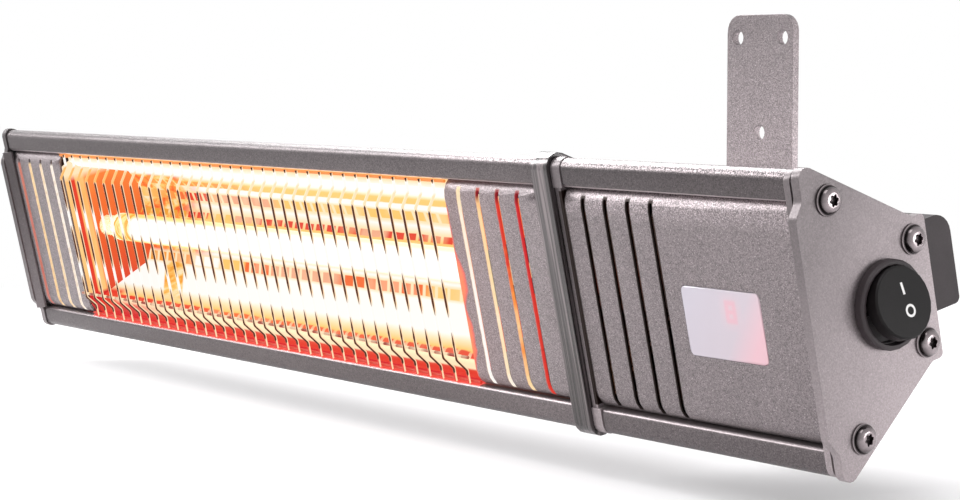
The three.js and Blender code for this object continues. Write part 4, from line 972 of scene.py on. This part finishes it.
# ---------------------------------------------------------------- pieces
def at(x, d, h):
    """A point of the heater, given in millimetres, in the row frame."""
    return BODY @ Vector((x * MM, d * MM, h * MM))


def rounded_path(points, radius, steps=4):
    """Path with its inner corners replaced by arcs."""
    path = [Vector(points[0])]
    for before, here, after in zip(points, points[1:], points[2:]):
        here = Vector(here)
        back, on = (Vector(before) - here).normalized(), (Vector(after) - here).normalized()
        half = back.angle(on) / 2
        reach = radius / math.tan(half)
        centre = here + (back + on).normalized() * (radius / math.sin(half))
        start = (here + back * reach - centre).normalized()
        end = (here + on * reach - centre).normalized()
        path += [centre + radius * start.slerp(end, k / steps) for k in range(steps + 1)]
    return path + [Vector(points[-1])]


def skin(bm, rings):
    """Faces from ring to ring of vertices, and over the first and the last one."""
    for low, high in zip(rings, rings[1:]):
        for k in range(len(low)):
            after = (k + 1) % len(low)
            bm.faces.new((low[k], low[after], high[after], high[k]))
    bm.faces.new(list(reversed(rings[0])))
    bm.faces.new(rings[-1])


def new_piece(name, bm, finish):
    """An object from drawn faces, smooth but for its sharp edges."""
    bmesh.ops.recalc_face_normals(bm, faces=bm.faces)
    mesh = bpy.data.meshes.new(name)
    bm.to_mesh(mesh)
    bm.free()
    mesh.polygons.foreach_set("use_smooth", [True] * len(mesh.polygons))
    mesh.set_sharp_from_angle(angle=SHARP_ANGLE)
    obj = bpy.data.objects.new(name, mesh)
    bpy.context.scene.collection.objects.link(obj)
    dress(obj, finish)
    return obj


WIRE_SIDES = 10
WIRE_ANGLES = [2 * math.pi * k / WIRE_SIDES for k in range(WIRE_SIDES)]


def round_wires(name, paths, radius, finish):
    """Tubes along paths, joined in one mesh."""
    bm = bmesh.new()
    for path in paths:
        rings = []
        for i, point in enumerate(path):
            ahead = (path[min(i + 1, len(path) - 1)] - path[max(i - 1, 0)]).normalized()
            side = ahead.orthogonal() if abs(ahead.x) > 0.9 else ahead.cross(Vector((1, 0, 0)))
            side.normalize()
            other = ahead.cross(side)
            around = [math.cos(a) * side + math.sin(a) * other for a in WIRE_ANGLES]
            rings.append([bm.verts.new(point + radius * arm) for arm in around])
        skin(bm, rings)
    return new_piece(name, bm, finish)


def guard():
    """Round wires bent back behind the lips, on cross rods at their feet and at the lower bend."""
    low, high = WINDOW
    room = high - low - 2 * WIRE_MARGIN
    count = round(room / WIRE_PITCH) + 1
    profile = [
        (GUARD_BACK, -GUARD_END), (GUARD_BACK, -GUARD_BEND_IN), (GUARD_FRONT, -GUARD_BEND_OUT),
        (GUARD_FRONT, GUARD_BEND_OUT), (GUARD_BACK, GUARD_BEND_IN), (GUARD_BACK, GUARD_END),
    ]
    paths = []
    for i in range(count):
        x = low + WIRE_MARGIN + room * i / (count - 1)
        paths.append(rounded_path([at(x, d, h) for d, h in profile], WIRE_BEND * MM))
    wires = round_wires("guard_wires", paths, WIRE_R * MM, "guard_wire")
    back, front = (depth + WIRE_R + ROD_R for depth in (GUARD_BACK, GUARD_FRONT))
    lines = [(back, GUARD_END - ROD_R), (back, ROD_R - GUARD_END), (front, 2 * ROD_R - GUARD_BEND_OUT)]
    straight = [[at(low + ROD_GAP, d, h), at(high - ROD_GAP, d, h)] for d, h in lines]
    rods = round_wires("guard_rods", straight, ROD_R * MM, "guard_rod")
    for piece in (wires, rods):
        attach(piece, "heater")
    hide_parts("wire_guard")


SCREW_RINGS = [
    # radius, height above the plate, share of the six-lobe wave
    (6.5, 0.3, 0), (6.5, 0.8, 0), (6.2, 1.1, 0), (5.6, 1.2, 0), (5.55, 2.1, 0), (5.2, 2.9, 0), (4.6, 3.5, 0),
    (3.9, 3.95, 0), (3.2, 4.1, 0), (2.75, 4.1, 1), (2.5, 3.8, 1), (2.45, 2.3, 1), (0.8, 2.1, 0),
]


SCREW_SIDES = 48
SCREW_LOBES = 6
LOBE_DEPTH = 0.14        # half a lobe's depth, as a share of the recess's radius


def screw(name, x, d, h, out):
    """Domed screw head with a six-lobe recess on a flange, facing along the heater."""
    bm = bmesh.new()
    rings = []
    for radius, rise, wave in SCREW_RINGS:
        ring = []
        for k in range(SCREW_SIDES):
            a = 2 * math.pi * k / SCREW_SIDES
            r = radius * (1 - LOBE_DEPTH * wave * (1 - math.cos(SCREW_LOBES * a)))
            ring.append(bm.verts.new(at(x + out * rise, d + r * math.cos(a), h + r * math.sin(a))))
        rings.append(ring)
    skin(bm, rings)
    piece = new_piece(name + "_head", bm, "screw_steel")
    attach(piece, "heater")
    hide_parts(name)


def end_screws():
    """The four screws of each end, at the same places."""
    places = [(0, SCREW_FRONT_HALF), SCREW_BACK, (SCREW_BACK[0], -SCREW_BACK[1]), (0, -SCREW_FRONT_HALF)]
    for i, (d, h) in enumerate(places, 1):
        screw(f"end_screw_right_{i}", 0, d, h, 1)
        screw(f"end_screw_left_{i}", LEFT_END, d, h, -1)


# ---------------------------------------------------------------- stage
def seen_directly(tree):
    """1 for rays that show the background: camera, glossy and transmission rays."""
    rays = tree.nodes.new("ShaderNodeLightPath")
    total = rays.outputs["Is Camera Ray"]
    for name in ("Is Glossy Ray", "Is Transmission Ray"):
        larger = tree.nodes.new("ShaderNodeMath")
        larger.operation = "MAXIMUM"
        tree.links.new(total, larger.inputs[0])
        tree.links.new(rays.outputs[name], larger.inputs[1])
        total = larger.outputs[0]
    return total


FLOOR_DROP = 20          # under the heater's lowest point, mm
FLOOR_HALF = 6.0         # metres
FLOOR_TONE = (0.93, 0.92, 0.93)
SHADOW_SHARE = 0.75      # how much of the floor's look is its own shading
SHADOW_REACH = (0.30, 1.0)  # metres from the origin over which that fades to white


def floor():
    """White paper under the heater, that fades into the background."""
    low = CAD_BOX[0].z - FLOOR_DROP * MM
    around = [(-1, -1), (1, -1), (1, 1), (-1, 1)]
    corners = [(x * FLOOR_HALF, y * FLOOR_HALF, low) for x, y in around]
    mesh = bpy.data.meshes.new("floor")
    mesh.from_pydata(corners, [], [(0, 1, 2, 3)])
    obj = bpy.data.objects.new("floor", mesh)
    bpy.context.scene.collection.objects.link(obj)
    s = Shader("floor_paper", Base_Color=FLOOR_TONE, Roughness=0.9)
    distance = s.add("ShaderNodeVectorMath", operation="LENGTH")
    s.link(s.place(), distance.inputs[0])
    share = s.span(distance.outputs["Value"], *SHADOW_REACH, SHADOW_SHARE, 0.0, smooth=True)
    white = s.add("ShaderNodeEmission")
    pale = s.add("ShaderNodeMixShader")
    s.link(share, pale.inputs[0])
    s.link(white.outputs[0], pale.inputs[1])
    s.link(s.surface.outputs[0], pale.inputs[2])
    shown = s.add("ShaderNodeMixShader")
    s.link(seen_directly(s.tree), shown.inputs[0])
    s.link(s.surface.outputs[0], shown.inputs[1])
    s.link(pale.outputs[0], shown.inputs[2])
    s.link(shown.outputs[0], s.output.inputs["Surface"])
    mesh.materials.append(s.material)


SKY_LIGHT = 0.62
HORIZON = (0.75, 0.74, 0.75)
OVERHEAD = (1.0, 0.99, 1.0)


def world():
    """White where it is seen; as a light, brighter overhead than at the horizon."""
    w = bpy.data.worlds.new("studio")
    bpy.context.scene.world = w
    w.use_nodes = True
    tree = w.node_tree
    tree.nodes.clear()
    out = tree.nodes.new("ShaderNodeOutputWorld")
    light = tree.nodes.new("ShaderNodeBackground")
    seen = tree.nodes.new("ShaderNodeBackground")
    light.inputs["Strength"].default_value = SKY_LIGHT
    seen.inputs["Strength"].default_value = 1.0
    seen.inputs["Color"].default_value = (1, 1, 1, 1)
    place = tree.nodes.new("ShaderNodeTexCoord")
    axes = tree.nodes.new("ShaderNodeSeparateXYZ")
    ramp = tree.nodes.new("ShaderNodeValToRGB")
    for element, tone in zip(ramp.color_ramp.elements, (HORIZON, OVERHEAD)):
        element.color = (*tone, 1)
    tree.links.new(place.outputs["Generated"], axes.inputs[0])
    tree.links.new(axes.outputs[2], ramp.inputs[0])
    tree.links.new(ramp.outputs[0], light.inputs["Color"])
    mix = tree.nodes.new("ShaderNodeMixShader")
    tree.links.new(seen_directly(tree), mix.inputs[0])
    tree.links.new(light.outputs[0], mix.inputs[1])
    tree.links.new(seen.outputs[0], mix.inputs[2])
    tree.links.new(mix.outputs[0], out.inputs["Surface"])


LIGHTS = [
    # name, place, aim, width and height in metres, watts
    ("overhead", (0.2, -0.7, 1.5), (0, -0.1, 0), (1.4, 0.8), 13),
    ("far_front", (-1.45, -1.15, 0.78), (0, -0.12, 0), (1.2, 0.5), 26),
    ("far_back", (-1.4, 0.15, 1.15), (0, -0.12, 0), (1.2, 0.5), 36),
    ("near_end", (0.8, 0.25, -0.02), (0.19, -0.1, -0.04), (0.35, 0.2), 1.3),
]


def softbox(name, place, aim, size, power):
    """Rectangular lamp that faces a point."""
    data = bpy.data.lights.new(name, "AREA")
    data.shape = "RECTANGLE"
    data.size, data.size_y = size
    data.energy = power
    obj = bpy.data.objects.new(name, data)
    obj.location = place
    obj.rotation_euler = (Vector(aim) - Vector(place)).to_track_quat("-Z", "Y").to_euler()
    bpy.context.scene.collection.objects.link(obj)


CAMERA_PLACE = (0.8477, -0.8130, 0.0445)
CAMERA_DOWN = 4.54       # degrees below level
CAMERA_TURN = 53.19      # degrees from facing the wall, to the left
SENSOR_WIDTH = 36
FOCAL_LENGTH = 87.0


def camera():
    """The photo's view, solved from the straight edges in it."""
    data = bpy.data.cameras.new("camera")
    data.sensor_width = SENSOR_WIDTH
    data.lens = FOCAL_LENGTH
    obj = bpy.data.objects.new("camera", data)
    obj.location = CAMERA_PLACE
    obj.rotation_euler = Euler((math.radians(90 - CAMERA_DOWN), 0, math.radians(CAMERA_TURN)))
    bpy.context.scene.collection.objects.link(obj)
    bpy.context.scene.camera = obj


camera()
floor()
world()
for light in LIGHTS:
    softbox(*light)
bpy.context.scene.view_settings.view_transform = "Standard"

dress_cad_nodes()
guard()
end_screws()
